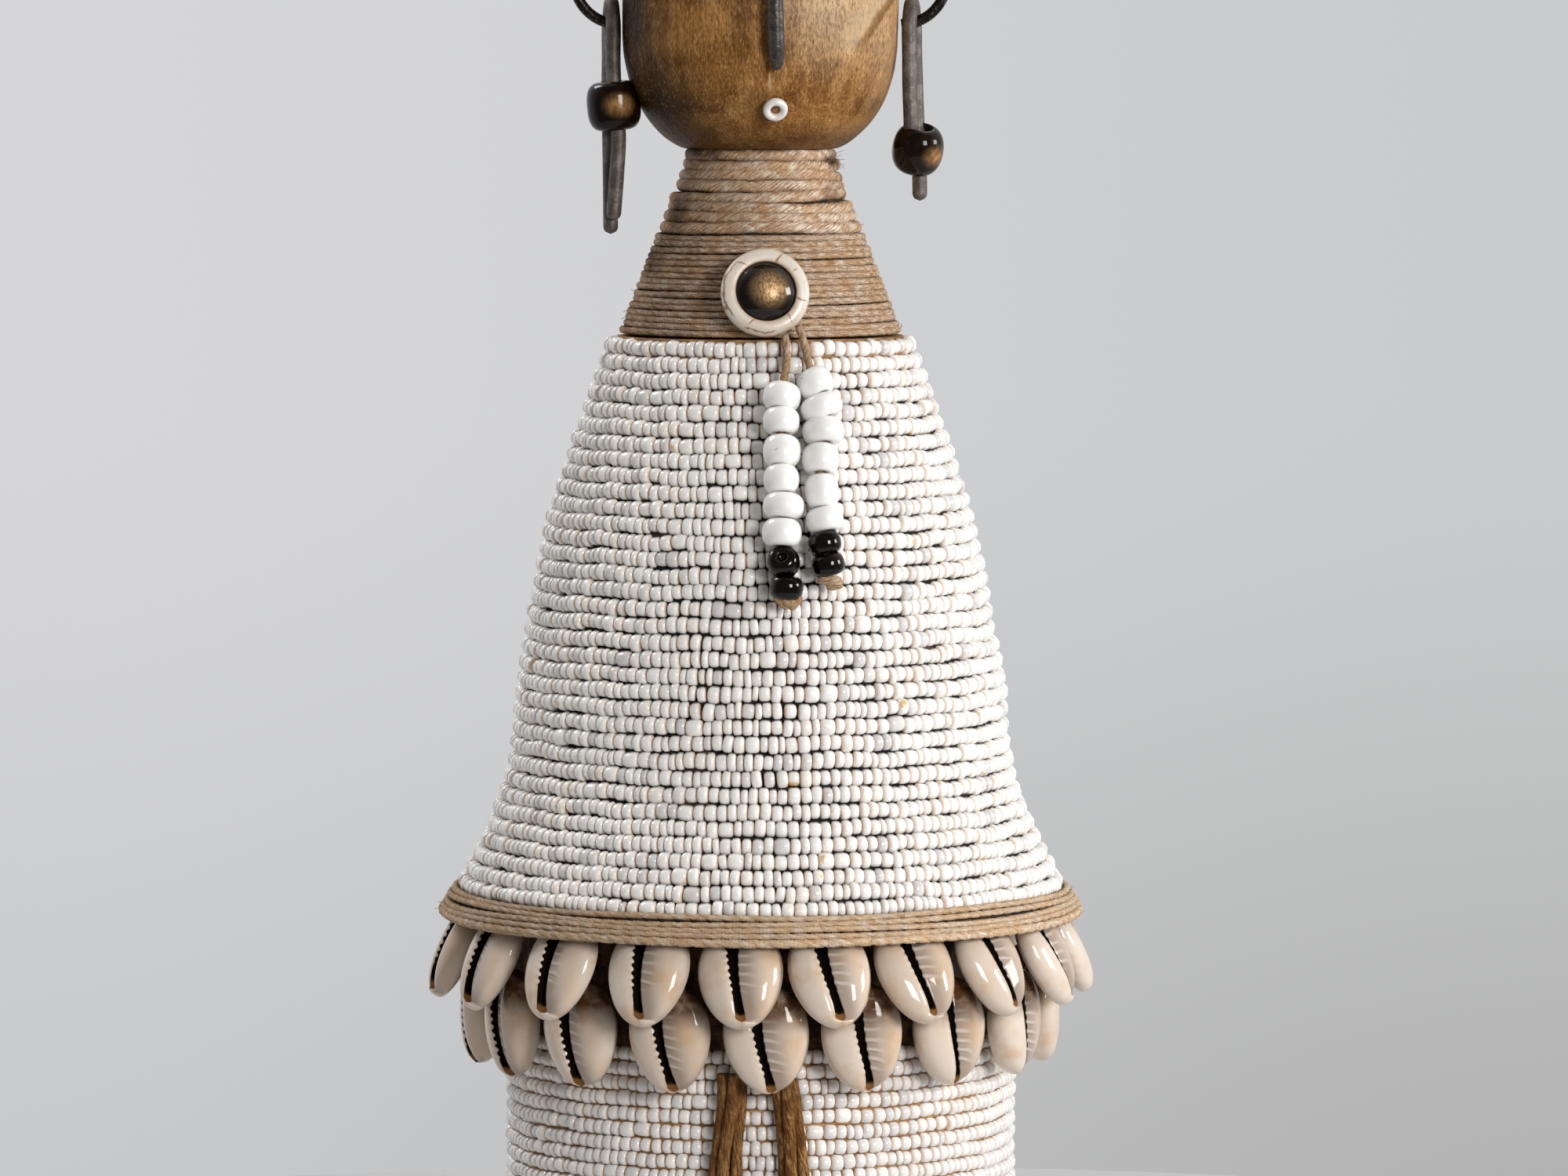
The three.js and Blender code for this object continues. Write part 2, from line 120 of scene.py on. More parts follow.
class Nodes:
    """Short ways to add nodes to one tree. A value is a number or another node's output."""

    def __init__(self, tree):
        self.tree = tree

    def fill(self, node, inputs):
        for name, value in inputs.items():
            if isinstance(value, bpy.types.NodeSocket):
                self.tree.links.new(value, node.inputs[name])
            else:
                node.inputs[name].default_value = value
        return node

    def put(self, kind, inputs, **settings):
        node = self.tree.nodes.new(kind)
        for name, value in settings.items():
            setattr(node, name, value)
        return self.fill(node, inputs)

    def mixed(self, share, first, second):
        """The first colour where the share is 0 and the second where it is 1."""
        factor, a, b, result = 0, 6, 7, 2
        first, second = (tint(*v) if isinstance(v, tuple) else v for v in (first, second))
        inputs = {factor: share, a: first, b: second}
        return self.put("ShaderNodeMix", inputs, data_type="RGBA").outputs[result]

    def ranged(self, value, low, high, to_low=0.0, to_high=1.0):
        """A value taken from one range to another, smoothly."""
        names = ("Value", "From Min", "From Max", "To Min", "To Max")
        values = dict(zip(names, (value, low, high, to_low, to_high)))
        node = self.put("ShaderNodeMapRange", values, interpolation_type="SMOOTHSTEP")
        return node.outputs["Result"]

    def math(self, operation, *values, clamp=False):
        inputs = dict(enumerate(values))
        return self.put("ShaderNodeMath", inputs, operation=operation, use_clamp=clamp).outputs[0]

    def vector(self, operation, *values, result=0):
        inputs = dict(enumerate(values))
        return self.put("ShaderNodeVectorMath", inputs, operation=operation).outputs[result]

    def times(self, first, *others):
        """Shares multiplied with each other, kept between 0 and 1."""
        for other in others:
            first = self.math("MULTIPLY", first, other, clamp=True)
        return first

    def blended(self, share, first, second):
        """The first value where the share is 0 and the second where it is 1."""
        factor, a, b = 0, 2, 3
        inputs = {factor: share, a: first, b: second}
        return self.put("ShaderNodeMix", inputs, data_type="FLOAT").outputs[0]

    def parts(self, vector):
        return self.put("ShaderNodeSeparateXYZ", {"Vector": vector}).outputs

    def noise(self, vector, scale, detail=3.0, roughness=0.55):
        """Cloudy noise. Three scales draw it out along the axis with the smallest."""
        if isinstance(scale, tuple):
            values = {"Vector": vector, "Scale": scale}
            vector = self.put("ShaderNodeMapping", values).outputs["Vector"]
            scale = 1.0
        values = {"Vector": vector, "Scale": scale, "Detail": detail, "Roughness": roughness}
        return self.put("ShaderNodeTexNoise", values).outputs["Fac"]


# %% [markdown]
# ## Shared effects
# Three effects return in many finishes. A soft spot marks one place on a surface, such as a
# stain. Grime is a cloudy mask for dirt and wear. Fibres are fine lines along a thread, which
# read the thread's own UV map because they have to follow it round the doll.

# %% Effect groups
def new_group(name, inputs, outputs):
    """A node group: each input by its first value, and each output as a number."""
    tree = bpy.data.node_groups.new(name, "ShaderNodeTree")
    for label, value in inputs.items():
        kind = "NodeSocketVector" if isinstance(value, tuple) else "NodeSocketFloat"
        tree.interface.new_socket(label, in_out="INPUT", socket_type=kind).default_value = value
    for label in outputs:
        tree.interface.new_socket(label, in_out="OUTPUT", socket_type="NodeSocketFloat")
    result = tree.nodes.new("NodeGroupOutput")
    return Nodes(tree), tree.nodes.new("NodeGroupInput").outputs, result


def build_spot():
    inputs = {"Vector": (0, 0, 0), "Centre": (0, 0, 0), "Size": (1, 1, 1), "Core": 0.4}
    group, given, result = new_group("soft_spot", inputs, ["Mask"])
    away = group.vector("SUBTRACT", given["Vector"], given["Centre"])
    share = group.vector("DIVIDE", away, given["Size"])
    length = group.vector("LENGTH", share, result="Value")
    group.fill(result, {"Mask": group.ranged(length, given["Core"], 1.0, 1.0, 0.0)})
    return group.tree


def build_grime():
    inputs = {"Vector": (0, 0, 0), "Scale": 100.0, "Low": 0.4, "High": 0.6}
    group, given, result = new_group("grime", inputs, ["Mask"])
    cloudy = group.noise(given["Vector"], given["Scale"], detail=4.0)
    group.fill(result, {"Mask": group.ranged(cloudy, given["Low"], given["High"])})
    return group.tree


def build_fibres():
    inputs = {"Vector": (0, 0, 0), "Around": 12.0, "Along": 0.25, "Slant": 0.0}
    group, given, result = new_group("fibres", inputs, ["Lines", "Height"])
    around, along, _ = group.parts(given["Vector"])
    turned_on = group.math("ADD", around, group.math("MULTIPLY", along, given["Slant"]))
    across = group.math("MULTIPLY", turned_on, given["Around"])
    drawn = group.math("MULTIPLY", along, given["Along"])
    joined = group.put("ShaderNodeCombineXYZ", {"X": across, "Y": drawn}).outputs[0]
    fine = group.noise(joined, 1.0, roughness=0.7)
    group.fill(result, {"Lines": group.ranged(fine, 0.36, 0.66), "Height": fine})
    return group.tree


SPOT = build_spot()
GRIME = build_grime()
FIBRES = build_fibres()
print("effect groups:", [group.name for group in bpy.data.node_groups])

# %% Layered finish
def by_socket(values):
    """The same values under the names that a shader's sockets have."""
    names = (label.replace("_", " ").title().replace("Ior", "IOR") for label in values)
    return dict(zip(names, values.values()))


class Finish(Nodes):
    """A Principled material whose colour is laid on in layers."""

    def __init__(self, name, roughness, **plain):
        self.material = bpy.data.materials.new(name)
        self.material.use_nodes = True
        super().__init__(self.material.node_tree)
        self.shader = self.tree.nodes["Principled BSDF"]
        self.fill(self.shader, {"Roughness": roughness, **by_socket(plain)})
        self.place = self.put("ShaderNodeTexCoord", {}).outputs["Object"]

    def effect(self, group, inputs):
        return self.fill(self.put("ShaderNodeGroup", {}, node_tree=group), inputs).outputs

    def spot(self, centre, size, core=0.4, place=None):
        """A soft spot with its centre and half sizes in mm."""
        values = {"Vector": place or self.place, "Core": core}
        values |= {"Centre": in_metres(centre), "Size": in_metres(size)}
        return self.effect(SPOT, values)["Mask"]

    def grime(self, scale, low=0.4, high=0.6):
        values = {"Vector": self.place, "Scale": scale, "Low": low, "High": high}
        return self.effect(GRIME, values)["Mask"]

    def cloud(self, scale, detail=3.0, roughness=0.55):
        return self.noise(self.place, scale, detail, roughness)

    def attribute(self, name):
        return self.put("ShaderNodeAttribute", {}, attribute_name=name).outputs["Fac"]

    def start(self, share, first, second):
        """The ground of two colours that the other layers lie on."""
        self.body = self.mixed(share, first, second)

    def lay(self, share, colour, strength=1.0):
        """Lays a colour over what is there, where the share says and as strong as given."""
        if strength != 1.0:
            share = self.times(share, strength)
        self.body = self.mixed(share, self.body, colour)

    def done(self, height=None, distance=0.0, strength=1.0, **sockets):
        """Joins the layers, a bump with its height and any other sockets to the shader."""
        links = by_socket(sockets)
        if height is not None:
            values = {"Height": height, "Distance": distance, "Strength": strength}
            links["Normal"] = self.put("ShaderNodeBump", values).outputs["Normal"]
        self.fill(self.shader, {"Base Color": self.body, **links})
        return self.material


# %% [markdown]
# ## Floor and light
# The floor is a small pale disc, whose far edge makes the faint line low in the picture. The
# world is bright paper behind the doll and a dim room in front of it, so that its black beads
# stay black. The light comes from the right: a wide window and a smaller warm lamp before it.
# A weak window high at the back left gives the second glint on the glossy parts.

# %% Floor and light
FLOOR_RADIUS = 0.32
ROOM = (112, 109, 106)
# Place and size in metres, power in watts and the light's tint.
LIGHTS = {
    "window_right": ((1.345, -0.19, 0.49), (0.42, 0.38), 9.0, (1.0, 1.0, 1.0)),
    "lamp_right": ((0.6, -1.0, 0.42), (0.34, 0.4), 9.4, (1.0, 0.985, 0.965)),
    "window_behind_left": ((-0.9, 0.48, 1.25), (0.5, 0.5), 9.0, (1.0, 1.0, 1.0)),
}
AIM = (0, 0, 0.15)


def make_floor():
    finish = Finish("pale_floor", 0.75)
    finish.start(finish.cloud(6.0), (196, 196, 197), (203, 203, 203))
    bm = bmesh.new()
    bmesh.ops.create_circle(bm, cap_ends=True, segments=96, radius=FLOOR_RADIUS)
    mesh = bpy.data.meshes.new("floor")
    bm.to_mesh(mesh)
    bm.free()
    mesh.materials.append(finish.done())
    floor = bpy.data.objects.new("floor", mesh)
    bpy.context.scene.collection.objects.link(floor)


def make_world():
    """Pale paper behind, a little darker low on the right as painted shade, and the dim room in
    front.
    """
    world = bpy.data.worlds.new("paper")
    world.use_nodes = True
    nodes = Nodes(world.node_tree)
    x, y, z = nodes.parts(nodes.put("ShaderNodeTexCoord", {}).outputs["Generated"])
    to_right = nodes.ranged(x, -0.1, 0.1)
    high = nodes.mixed(to_right, (214, 214, 216), (202, 203, 204))
    low = nodes.mixed(to_right, (199, 200, 202), (178, 178, 178))
    paper = nodes.mixed(nodes.ranged(z, -0.15, -0.04), low, high)
    seen = nodes.mixed(nodes.ranged(y, -0.35, 0.25), ROOM, paper)
    nodes.fill(world.node_tree.nodes["Background"], {"Color": seen})
    bpy.context.scene.world = world


def make_light(name, place, size, power, colour):
    data = bpy.data.lights.new(name, "AREA")
    data.shape = "RECTANGLE"
    data.size, data.size_y = size
    data.energy = power
    data.color = colour
    lamp = bpy.data.objects.new(name, data)
    lamp.location = place
    lamp.rotation_euler = (Vector(AIM) - Vector(place)).to_track_quat("-Z", "Y").to_euler()
    bpy.context.scene.collection.objects.link(lamp)


make_floor()
make_world()
for light_name, light_values in LIGHTS.items():
    make_light(light_name, *light_values)

# %% [markdown]
# ## Helpers for shapes
# Most of the doll is either turned on its axis or wound round it. Turned shapes come from a
# profile of a few points and the spin operator. Threads and wires come from a grid that is
# rolled into a tube along a smooth path, so that the grid's UV map runs along the thread.

# %% Smooth curves
CURVE_SAMPLES = 600
BLUNT_TIP = 0.0004


def smooth_curve(pairs):
    """A smooth function through pairs of place and value."""
    places, values = np.array(pairs, float).T
    slopes = np.gradient(values, places)

    def at(place):
        place = np.clip(place, places[0], places[-1])
        index = np.clip(np.searchsorted(places, place) - 1, 0, len(places) - 2)
        span = places[index + 1] - places[index]
        t = (place - places[index]) / span
        near, far = values[index], values[index + 1]
        start = (2 * t**3 - 3 * t**2 + 1) * near + (t**3 - 2 * t**2 + t) * span * slopes[index]
        end = (3 * t**2 - 2 * t**3) * far + (t**3 - t**2) * span * slopes[index + 1]
        return start + end

    return at


def lengths_along(points):
    steps = np.linalg.norm(np.diff(points, axis=0), axis=1)
    return np.concatenate([[0], np.cumsum(steps)])


def smooth_path(points, step):
    """Evenly spaced points on a smooth curve through the given ones."""
    points = np.array(points, float)
    chord = lengths_along(points)
    axes = [smooth_curve(np.column_stack([chord, points[:, axis]])) for axis in range(3)]
    fine = np.linspace(0, chord[-1], CURVE_SAMPLES)
    dense = np.column_stack([axis(fine) for axis in axes])
    reached = lengths_along(dense)
    even = np.linspace(0, reached[-1], max(2, round(reached[-1] / step) + 1))
    return np.column_stack([np.interp(even, reached, dense[:, axis]) for axis in range(3)])


def round_ends(centres, radius):
    """A radius for each centre that closes a wire with a round tip at each end."""
    along = lengths_along(centres)
    nearest = np.minimum(along, along[-1] - along)
    inside = np.clip(1 - nearest / radius, 0, 1)
    return radius * np.sqrt(np.clip(1 - inside**2, BLUNT_TIP, 1))


# %% Turned and rolled meshes
# Points nearer than these, in mm, are one point.
TURNED_WELD, ROLLED_WELD, SHELL_WELD = 0.0005, 0.0008, 0.002


def close_up(bm, weld):
    """Welds near points, fills the open ends and turns the faces outward."""
    bmesh.ops.remove_doubles(bm, verts=bm.verts, dist=weld)
    loose_edges = [edge for edge in bm.edges if edge.is_wire]
    bmesh.ops.delete(bm, geom=loose_edges, context="EDGES")
    open_edges = [edge for edge in bm.edges if edge.is_boundary]
    if open_edges:
        bmesh.ops.holes_fill(bm, edges=open_edges, sides=0)
    bmesh.ops.recalc_face_normals(bm, faces=bm.faces)
    return bm


def turned(outline, sides, axis=(0, 0, 1)):
    """A solid turned from pairs of radius and height about Z or X, as a bmesh in mm."""
    bm = bmesh.new()
    along, side = Vector(axis), Vector((0, 1, 0))
    corners = [bm.verts.new(side * radius + along * height) for radius, height in outline]
    edges = [bm.edges.new(pair) for pair in zip(corners, corners[1:])]
    bmesh.ops.spin(
        bm, geom=corners + edges, cent=(0, 0, 0), axis=along, angle=2 * math.pi, steps=sides,
        use_merge=True,
    )
    return close_up(bm, TURNED_WELD)


def rolled(sides, steps, place, length, shift):
    """A grid rolled into a tube. place takes the shares around and along, and gives points in mm
    with a fourth value, which is 1 on the sides that face away and 0 outside. The UV map counts
    turns round the thread and mm along it, from the shift on."""
    bm = bmesh.new()
    sheet = bm.loops.layers.uv.new("UVMap")
    bmesh.ops.create_grid(bm, x_segments=sides, y_segments=steps, size=0.5, calc_uvs=True)
    shares = np.array([vert.co[:2] for vert in bm.verts]) + 0.5
    sunk = bm.verts.layers.float.new("sunk")
    for vert, (*place_in_mm, depth) in zip(bm.verts, place(shares[:, 0], shares[:, 1])):
        vert.co = place_in_mm
        vert[sunk] = depth
    for face in bm.faces:
        for loop in face.loops:
            around, along = loop[sheet].uv
            loop[sheet].uv = (around, along * length + shift)
    return close_up(bm, ROLLED_WELD)


def strand(centres, radius, sides, out=None, twist=0.0, ply=0.0, closed=False, shift=0.0):
    """A thread through the centres. ply pinches it into two plies, and twist turns it per mm."""
    centres = np.array(centres, float)
    steps = len(centres) - 1
    along = lengths_along(centres)
    ahead = np.gradient(centres, axis=0)
    if closed:
        ahead[0] = ahead[-1] = centres[1] - centres[-2]
        twist = round(twist * along[-1]) / along[-1]
    ahead /= np.linalg.norm(ahead, axis=1)[:, None]
    outward = centres * (1, 1, 0) if out is None else np.tile(np.array(out, float), (steps + 1, 1))
    outward = outward - (outward * ahead).sum(axis=1)[:, None] * ahead
    outward /= np.linalg.norm(outward, axis=1)[:, None]
    sideways = np.cross(ahead, outward)
    radii = np.broadcast_to(radius, len(centres))

    def place(around, share):
        ring = np.rint(share * steps).astype(int)
        angle = (around + 0.5) * 2 * math.pi
        reach = radii[ring] * (1 - ply * (1 - np.abs(np.cos(angle))) ** 1.5)
        turn = angle + 2 * math.pi * twist * along[ring]
        offset = np.cos(turn)[:, None] * outward[ring]
        offset = offset + np.sin(turn)[:, None] * sideways[ring]
        sunk = np.clip(0.9 - 1.3 * np.cos(turn), 0, 1)
        return np.column_stack([centres[ring] + reach[:, None] * offset, sunk])

    return rolled(sides, steps, place, along[-1], shift)


def pour(target, source):
    """Adds one bmesh to another and frees it."""
    passing = bpy.data.meshes.new("passing")
    source.to_mesh(passing)
    source.free()
    target.from_mesh(passing)
    bpy.data.meshes.remove(passing)


# %% Finished pieces
def finish_piece(bm, name, material, node, sharp=None):
    """Turns a bmesh in mm into a piece in metres that stands for its CAD node."""
    bm.transform(Matrix.Scale(MM, 4))
    mesh = bpy.data.meshes.new(name)
    bm.to_mesh(mesh)
    bm.free()
    mesh.shade_smooth()
    if sharp is not None:
        mesh.set_sharp_from_angle(angle=math.radians(sharp))
    for finish in material if isinstance(material, list) else [material]:
        mesh.materials.append(finish)
    piece = bpy.data.objects.new(name, mesh)
    bpy.context.scene.collection.objects.link(piece)
    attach(piece, ROOT)
    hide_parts(node)
    mesh.calc_loop_triangles()
    print(f"{name}: {len(mesh.loop_triangles)} triangles")
    return piece


# %% [markdown]
# ## Surfaces that carry the rest
# The beaded cape is a cone whose radius changes smoothly with height, and the cords lie on it.
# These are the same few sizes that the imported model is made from.

# %% Cape and neck outlines
CAPE_OUTLINE = [
    (95.3, 55.8), (100.1, 53.2), (106.6, 50.1), (115.2, 46.9), (132.5, 44.8),
    (149.7, 41.7), (163.4, 38.9), (180, 33.5), (195.9, 27.8),
]
CAPE_BOTTOM = CAPE_OUTLINE[0][0]
CAPE_TOP = CAPE_OUTLINE[-1][0]
NECK_OUTLINE = [(196.2, 25.9), (205.4, 22.4), (216.7, 18), (221.8, 15.8), (229.6, 13.4)]
cape_radius = smooth_curve(CAPE_OUTLINE)
neck_radius = smooth_curve(NECK_OUTLINE)


def in_front(across, reach, height):
    """A point in front of the doll, at a distance from its axis."""
    return (across, -math.sqrt(reach * reach - across * across), height)


def on_cape(across, height, off):
    """A point in front of the cape, at a distance off its beads."""
    return in_front(across, float(cape_radius(min(height, CAPE_TOP))) + off, height)


def around_axis(radii, angles, heights):
    """Points round the doll's axis, with their angles from the front."""
    return np.column_stack([radii * np.sin(angles), -radii * np.cos(angles), heights])


print("cape radius at its foot and top:", cape_radius(CAPE_BOTTOM), cape_radius(CAPE_TOP))

# %% [markdown]
# ## Twine
# Jute twine is two plies turned round each other. Its colour runs from dark brown to pale straw
# where it rubs, and its fibres lie along the thread. Painted shade darkens it between the threads
# and on the doll's left, away from the light. A few loose hairs stand off it. One function makes
# the material, with its own browns for each place.

# %% Twine finish
def make_twine(name, dark, middle, light, slant=0.0, left_shade=0.6, seam_shades=(0.0, 0.0), dark_spots=()):
    """Twine with its three browns, with painted shade on the doll's left and between the threads.
    """
    twine = Finish(name, 0.88, specular_ior_level=0.2)
    thread = twine.put("ShaderNodeTexCoord", {}).outputs["UV"]
    values = {"Vector": thread, "Around": 24.0, "Along": 0.42, "Slant": slant}
    lines = twine.effect(FIBRES, values)
    twine.start(twine.grime(260, 0.35, 0.65), middle, light)
    broad = twine.noise(thread, (3.0, 0.3, 1.0), detail=2.0)
    twine.lay(twine.ranged(broad, 0.35, 0.6, 0.45, 0.0), dark)
    twine.start(lines["Lines"], dark, twine.body)
    across = twine.parts(twine.place)["X"]
    # Painted shade on the doll's left, away from the light, broken up by cloudy patches.
    to_left = twine.ranged(across, 0.014, -0.022)
    twine.lay(twine.times(to_left, twine.grime(140, 0.25, 0.6)), (98, 64, 34), left_shade)
    left_seam_shade, right_seam_shade = seam_shades
    # Painted shade between the threads, on the sides that face away, as strong as given for each
    # side.
    painted_seam = twine.ranged(across, 0.016, -0.01, right_seam_shade, left_seam_shade)
    painted_seam = twine.times(twine.attribute("sunk"), painted_seam, twine.grime(200, 0.15, 0.55))
    twine.lay(painted_seam, (40, 22, 9))
    for centre, size, share in dark_spots:
        dark_spot = twine.times(twine.spot(centre, size, 0.2), twine.grime(420, 0.3, 0.5))
        twine.lay(dark_spot, (44, 24, 10), share)
    nubs = twine.cloud(1500, detail=2.0)
    twine.lay(twine.ranged(nubs, 0.45, 0.3, 0.0, 0.45), dark)
    rough = twine.math("ADD", lines["Height"], twine.times(nubs, 0.8))
    return twine.done(rough, 0.0003)


TASSEL_TWINE = make_twine("tassel_twine", (74, 42, 14), (142, 96, 48), (196, 150, 92), 0.06)
CORD_TWINE = make_twine("cord_twine", (150, 112, 74), (218, 188, 150), (240, 222, 198), 0.12)

# %% Loose hairs
HAIR_RADIUS = 0.05
HAIR_PLACES = (0, 0.3, 0.65, 1)
# Keeps a hair's side from lying exactly along it.
NUDGE = Vector((0.01, 0.02, 0.03))


def add_hairs(bm, roots, length, seed):
    """Fine hairs that leave a thread at the given points and curl away from the doll's axis."""
    dice = random.Random(seed)
    for root in roots:
        root = Vector(root)
        out = Vector((root.x, root.y, 0)).normalized()
        across = out.cross(Vector((0, 0, 1)))
        lean = across * dice.uniform(-1, 1) + Vector((0, 0, dice.uniform(-0.8, 0.8)))
        reach = length * dice.uniform(0.4, 1.2)
        bend = Vector([dice.uniform(-0.4, 0.4) for _ in range(3)])
        spots = [root + (out * 0.45 * t + lean * t + bend * t * t) * reach for t in HAIR_PLACES]
        pour(bm, strand([spot[:] for spot in spots], HAIR_RADIUS, sides=3, out=out + NUDGE))


# %% [markdown]
# ## Pendant cords
# Two thin cords leave from under the pendant, run through a string of pony beads each and end
# in a knot that keeps the beads on. They hang against the cape, so their route is a short list
# of places chosen on its surface. The knot is a few short threads over each other.

# %% Cord routes
CORD_RADIUS = 0.76
KNOT_RADIUS = 0.8
KNOT_COVERS = 1.2
# Places of each cord from its exit down: to the right, up and off the cape's beads.
LEFT_CORD = [
    (4.5, 196.8, 1.1), (4.8, 194.3, 1.5), (4.7, 191.6, 2.5), (4.3, 189.2, 3.4), (3.9, 186.2, 3.7),
    (3.8, 181.7, 3.7), (3.9, 176.7, 3.7), (3.8, 171.7, 3.7), (4.2, 166.9, 3.7), (3.9, 162.2, 3.7),
    (4.2, 157.3, 3.6), (4.7, 152.7, 3.3), (5.0, 149.9, 2.6),
]
RIGHT_CORD = [
    (6.8, 198.6, 1.5), (7.6, 196.6, 1.4), (8.2, 194.2, 1.7), (8.9, 191.4, 2.9), (9.9, 188.4, 3.7),
    (11, 184.1, 3.7), (11.3, 179.9, 3.7), (10.8, 175.1, 3.7), (11, 169.6, 3.7), (11.5, 164.5, 3.7),
    (11.5, 160.4, 3.6), (12.1, 156.6, 3.3), (12.4, 152.8, 2.6),
]
# For each bead its middle's height, its own height, its radius and its roll to the right in
# degrees, from the top down. The last two on each cord are black.
LEFT_BEADS = [
    (186.2, 4.8, 3.4, 4), (181.7, 4.7, 3.3, 2), (176.7, 5.5, 3.4, 2), (171.7, 5.1, 3.2, 0),
    (166.9, 4.6, 3.7, 4), (162.2, 5, 3.55, 2), (157.3, 4.6, 2.95, -6), (152.7, 4.3, 3.05, 14),
]
RIGHT_BEADS = [
    (188.4, 5, 3.25, -11), (184.1, 4.3, 3.85, -11), (179.9, 4.6, 3.8, -7), (175.1, 5.3, 3.35, -3),
    (169.6, 6, 3.05, 0), (164.5, 4.4, 3.4, -9), (160.4, 4.2, 3, -12), (156.6, 4, 3.05, -8),
]
BLACK_BEADS = 2
# The first black bead on the left has turned its hole to the viewer.
TIPPED_BEAD, BEAD_TIP = 157.3, 64
# Threads of each knot from the cord's end: places to the right, outwards and down.
KNOTS = {
    "left": [
        [(-0.1, 0.2, 0.7), (-0.9, 0.8, 0.0), (-1.75, 0.8, -1.1), (-1.95, 0.2, -2.1)],
        [(0.1, 0.2, 0.8), (0.9, 0.8, 0.3), (1.8, 0.8, -0.7), (2.0, 0.2, -1.6)],
        [(0.1, 0.7, 0.3), (-0.35, 1.4, -0.7), (-0.9, 1.1, -1.8)],
        [(0.1, 0.7, 0.3), (0.5, 1.3, -0.5), (1.1, 1.0, -1.5)],
    ],
    "right": [
        [
            (-2.1, 0.2, -1.3), (-1.0, 0.8, -1.1), (0.4, 1.0, -0.7), (1.6, 0.8, -0.3),
            (2.1, 0.2, -0.3),
        ],
        [(2.1, 0.3, -1.0), (0.9, 1.2, -1.2), (-0.5, 1.2, -1.3), (-1.7, 0.5, -1.5)],
        [(-0.6, 0.4, -0.3), (0.5, 0.9, -0.1), (1.5, 0.4, -0.1)],
    ],
}


# %% Pendant beads
def rounded_side(inner, outer, half, power, root, steps):
    """Pairs of radius and height up the outer side of a bead, between its flat ends."""
    places = [-math.cos(step / steps * math.pi) for step in range(steps + 1)]
    reach = outer - inner
    return [(inner + reach * (1 - abs(place) ** power) ** root, place * half) for place in places]


def pony_bead(height, radius, blind=False):
    """A rounded bead with a hole and flat ends, its axis along Z. A blind hole is closed inside."""
    bore, flat = 0.27 * radius, 0.52 * radius
    outline = rounded_side(flat, radius, height / 2, power=2.3, root=0.5, steps=16)
    inside = [(1.25, 0.48), (1, 0.42)]
    if blind:
        inside += [(1, 0.3), (0, 0.27), (0, -0.27), (1, -0.3)]
    inside += [(1, -0.42), (1.25, -0.48)]
    outline += [(bore * out, height * up) for out, up in inside]
    return turned([*outline, outline[0]], sides=30)


def make_pony_finishes():
    white = Finish("pony_white", 0.22, coat_weight=0.25, coat_roughness=0.08)
    white.start(white.grime(120), (244, 243, 241), (250, 249, 248))
    white.lay(white.ranged(white.cloud(900, detail=1.0), 0.74, 0.8), (198, 172, 140))
    black = Finish("pony_black", 0.1, coat_weight=0.5, coat_roughness=0.03, ior=1.2)
    black.start(black.grime(300, 0.5, 0.7), (8, 4, 2), (30, 20, 13))
    gloss = black.ranged(black.cloud(500), 0.4, 0.7, 0.07, 0.22)
    dents = black.cloud(420, detail=2.0)
    return [white.done(), black.done(dents, 0.00025, 0.6, roughness=gloss)]


PONY_FINISHES = make_pony_finishes()


def string_beads(label, path, beads):
    """The beads on a cord, each turned along it."""
    string = bmesh.new()
    for number, (level, height, radius, roll) in enumerate(beads):
        at = int(np.argmin(np.abs(path[:, 2] - level)))
        axis = Vector(path[min(at + 3, len(path) - 1)]) - Vector(path[at - 3])
        tipped = level == TIPPED_BEAD
        bead = pony_bead(height * 0.985, radius, blind=tipped)
        for face in bead.faces:
            face.material_index = int(number >= len(beads) - BLACK_BEADS)
        tip = BEAD_TIP if tipped else 2 * math.sin(number * 1.9)
        turn = rotated(roll, "Y") @ rotated(tip, "X")
        turn = turn @ axis.to_track_quat("Z", "Y").to_matrix().to_4x4()
        bead.transform(Matrix.Translation(path[at]) @ turn)
        pour(string, bead)
    node = f"pendant_beads_{label}"
    return finish_piece(string, f"pony_beads_{label}", PONY_FINISHES, node)


def make_cord(label, route, beads):
    """One cord with its knot and its beads."""
    path = smooth_path([on_cape(*place) for place in route], step=0.35)
    along = lengths_along(path)
    shown = path[along <= along[-1] - KNOT_COVERS]
    cord = strand(shown, CORD_RADIUS, sides=12, twist=0.2, ply=0.22)
    end = Vector(path[-1])
    down = (end - Vector(path[-12])).normalized()
    side = Vector((1, 0, 0))
    out = down.cross(side).normalized()
    for number, places in enumerate(KNOTS[label]):
        spots = [(end + side * x + out * y + down * z)[:] for x, y, z in places]
        knot = smooth_path(spots, step=0.3)
        radii = round_ends(knot, KNOT_RADIUS)
        thread = strand(knot, radii, 12, out=out[:], twist=0.05, ply=0.1, shift=60 * number)
        pour(cord, thread)
    tuft = [end - down * 1.0 + side * (i % 5 - 2) * 0.45 for i in range(26)]
    add_hairs(cord, tuft, length=1.1, seed=5)
    piece = finish_piece(cord, f"cord_{label}", CORD_TWINE, f"pendant_cord_{label}")
    strung = string_beads(label, path, beads)


make_cord("left", LEFT_CORD, LEFT_BEADS)
make_cord("right", RIGHT_CORD, RIGHT_BEADS)

# %% [markdown]
# ## Tassels
# Under the shells two bundles of three threads hang down the front of the beaded cylinder.
# Each thread follows the bundle's route, a little to one side of it, and ends a few
# millimetres above the base in a frayed tip.

# %% Tassels
BODY_RADIUS = 46.7
TASSEL_REACH = BODY_RADIUS + 1.7
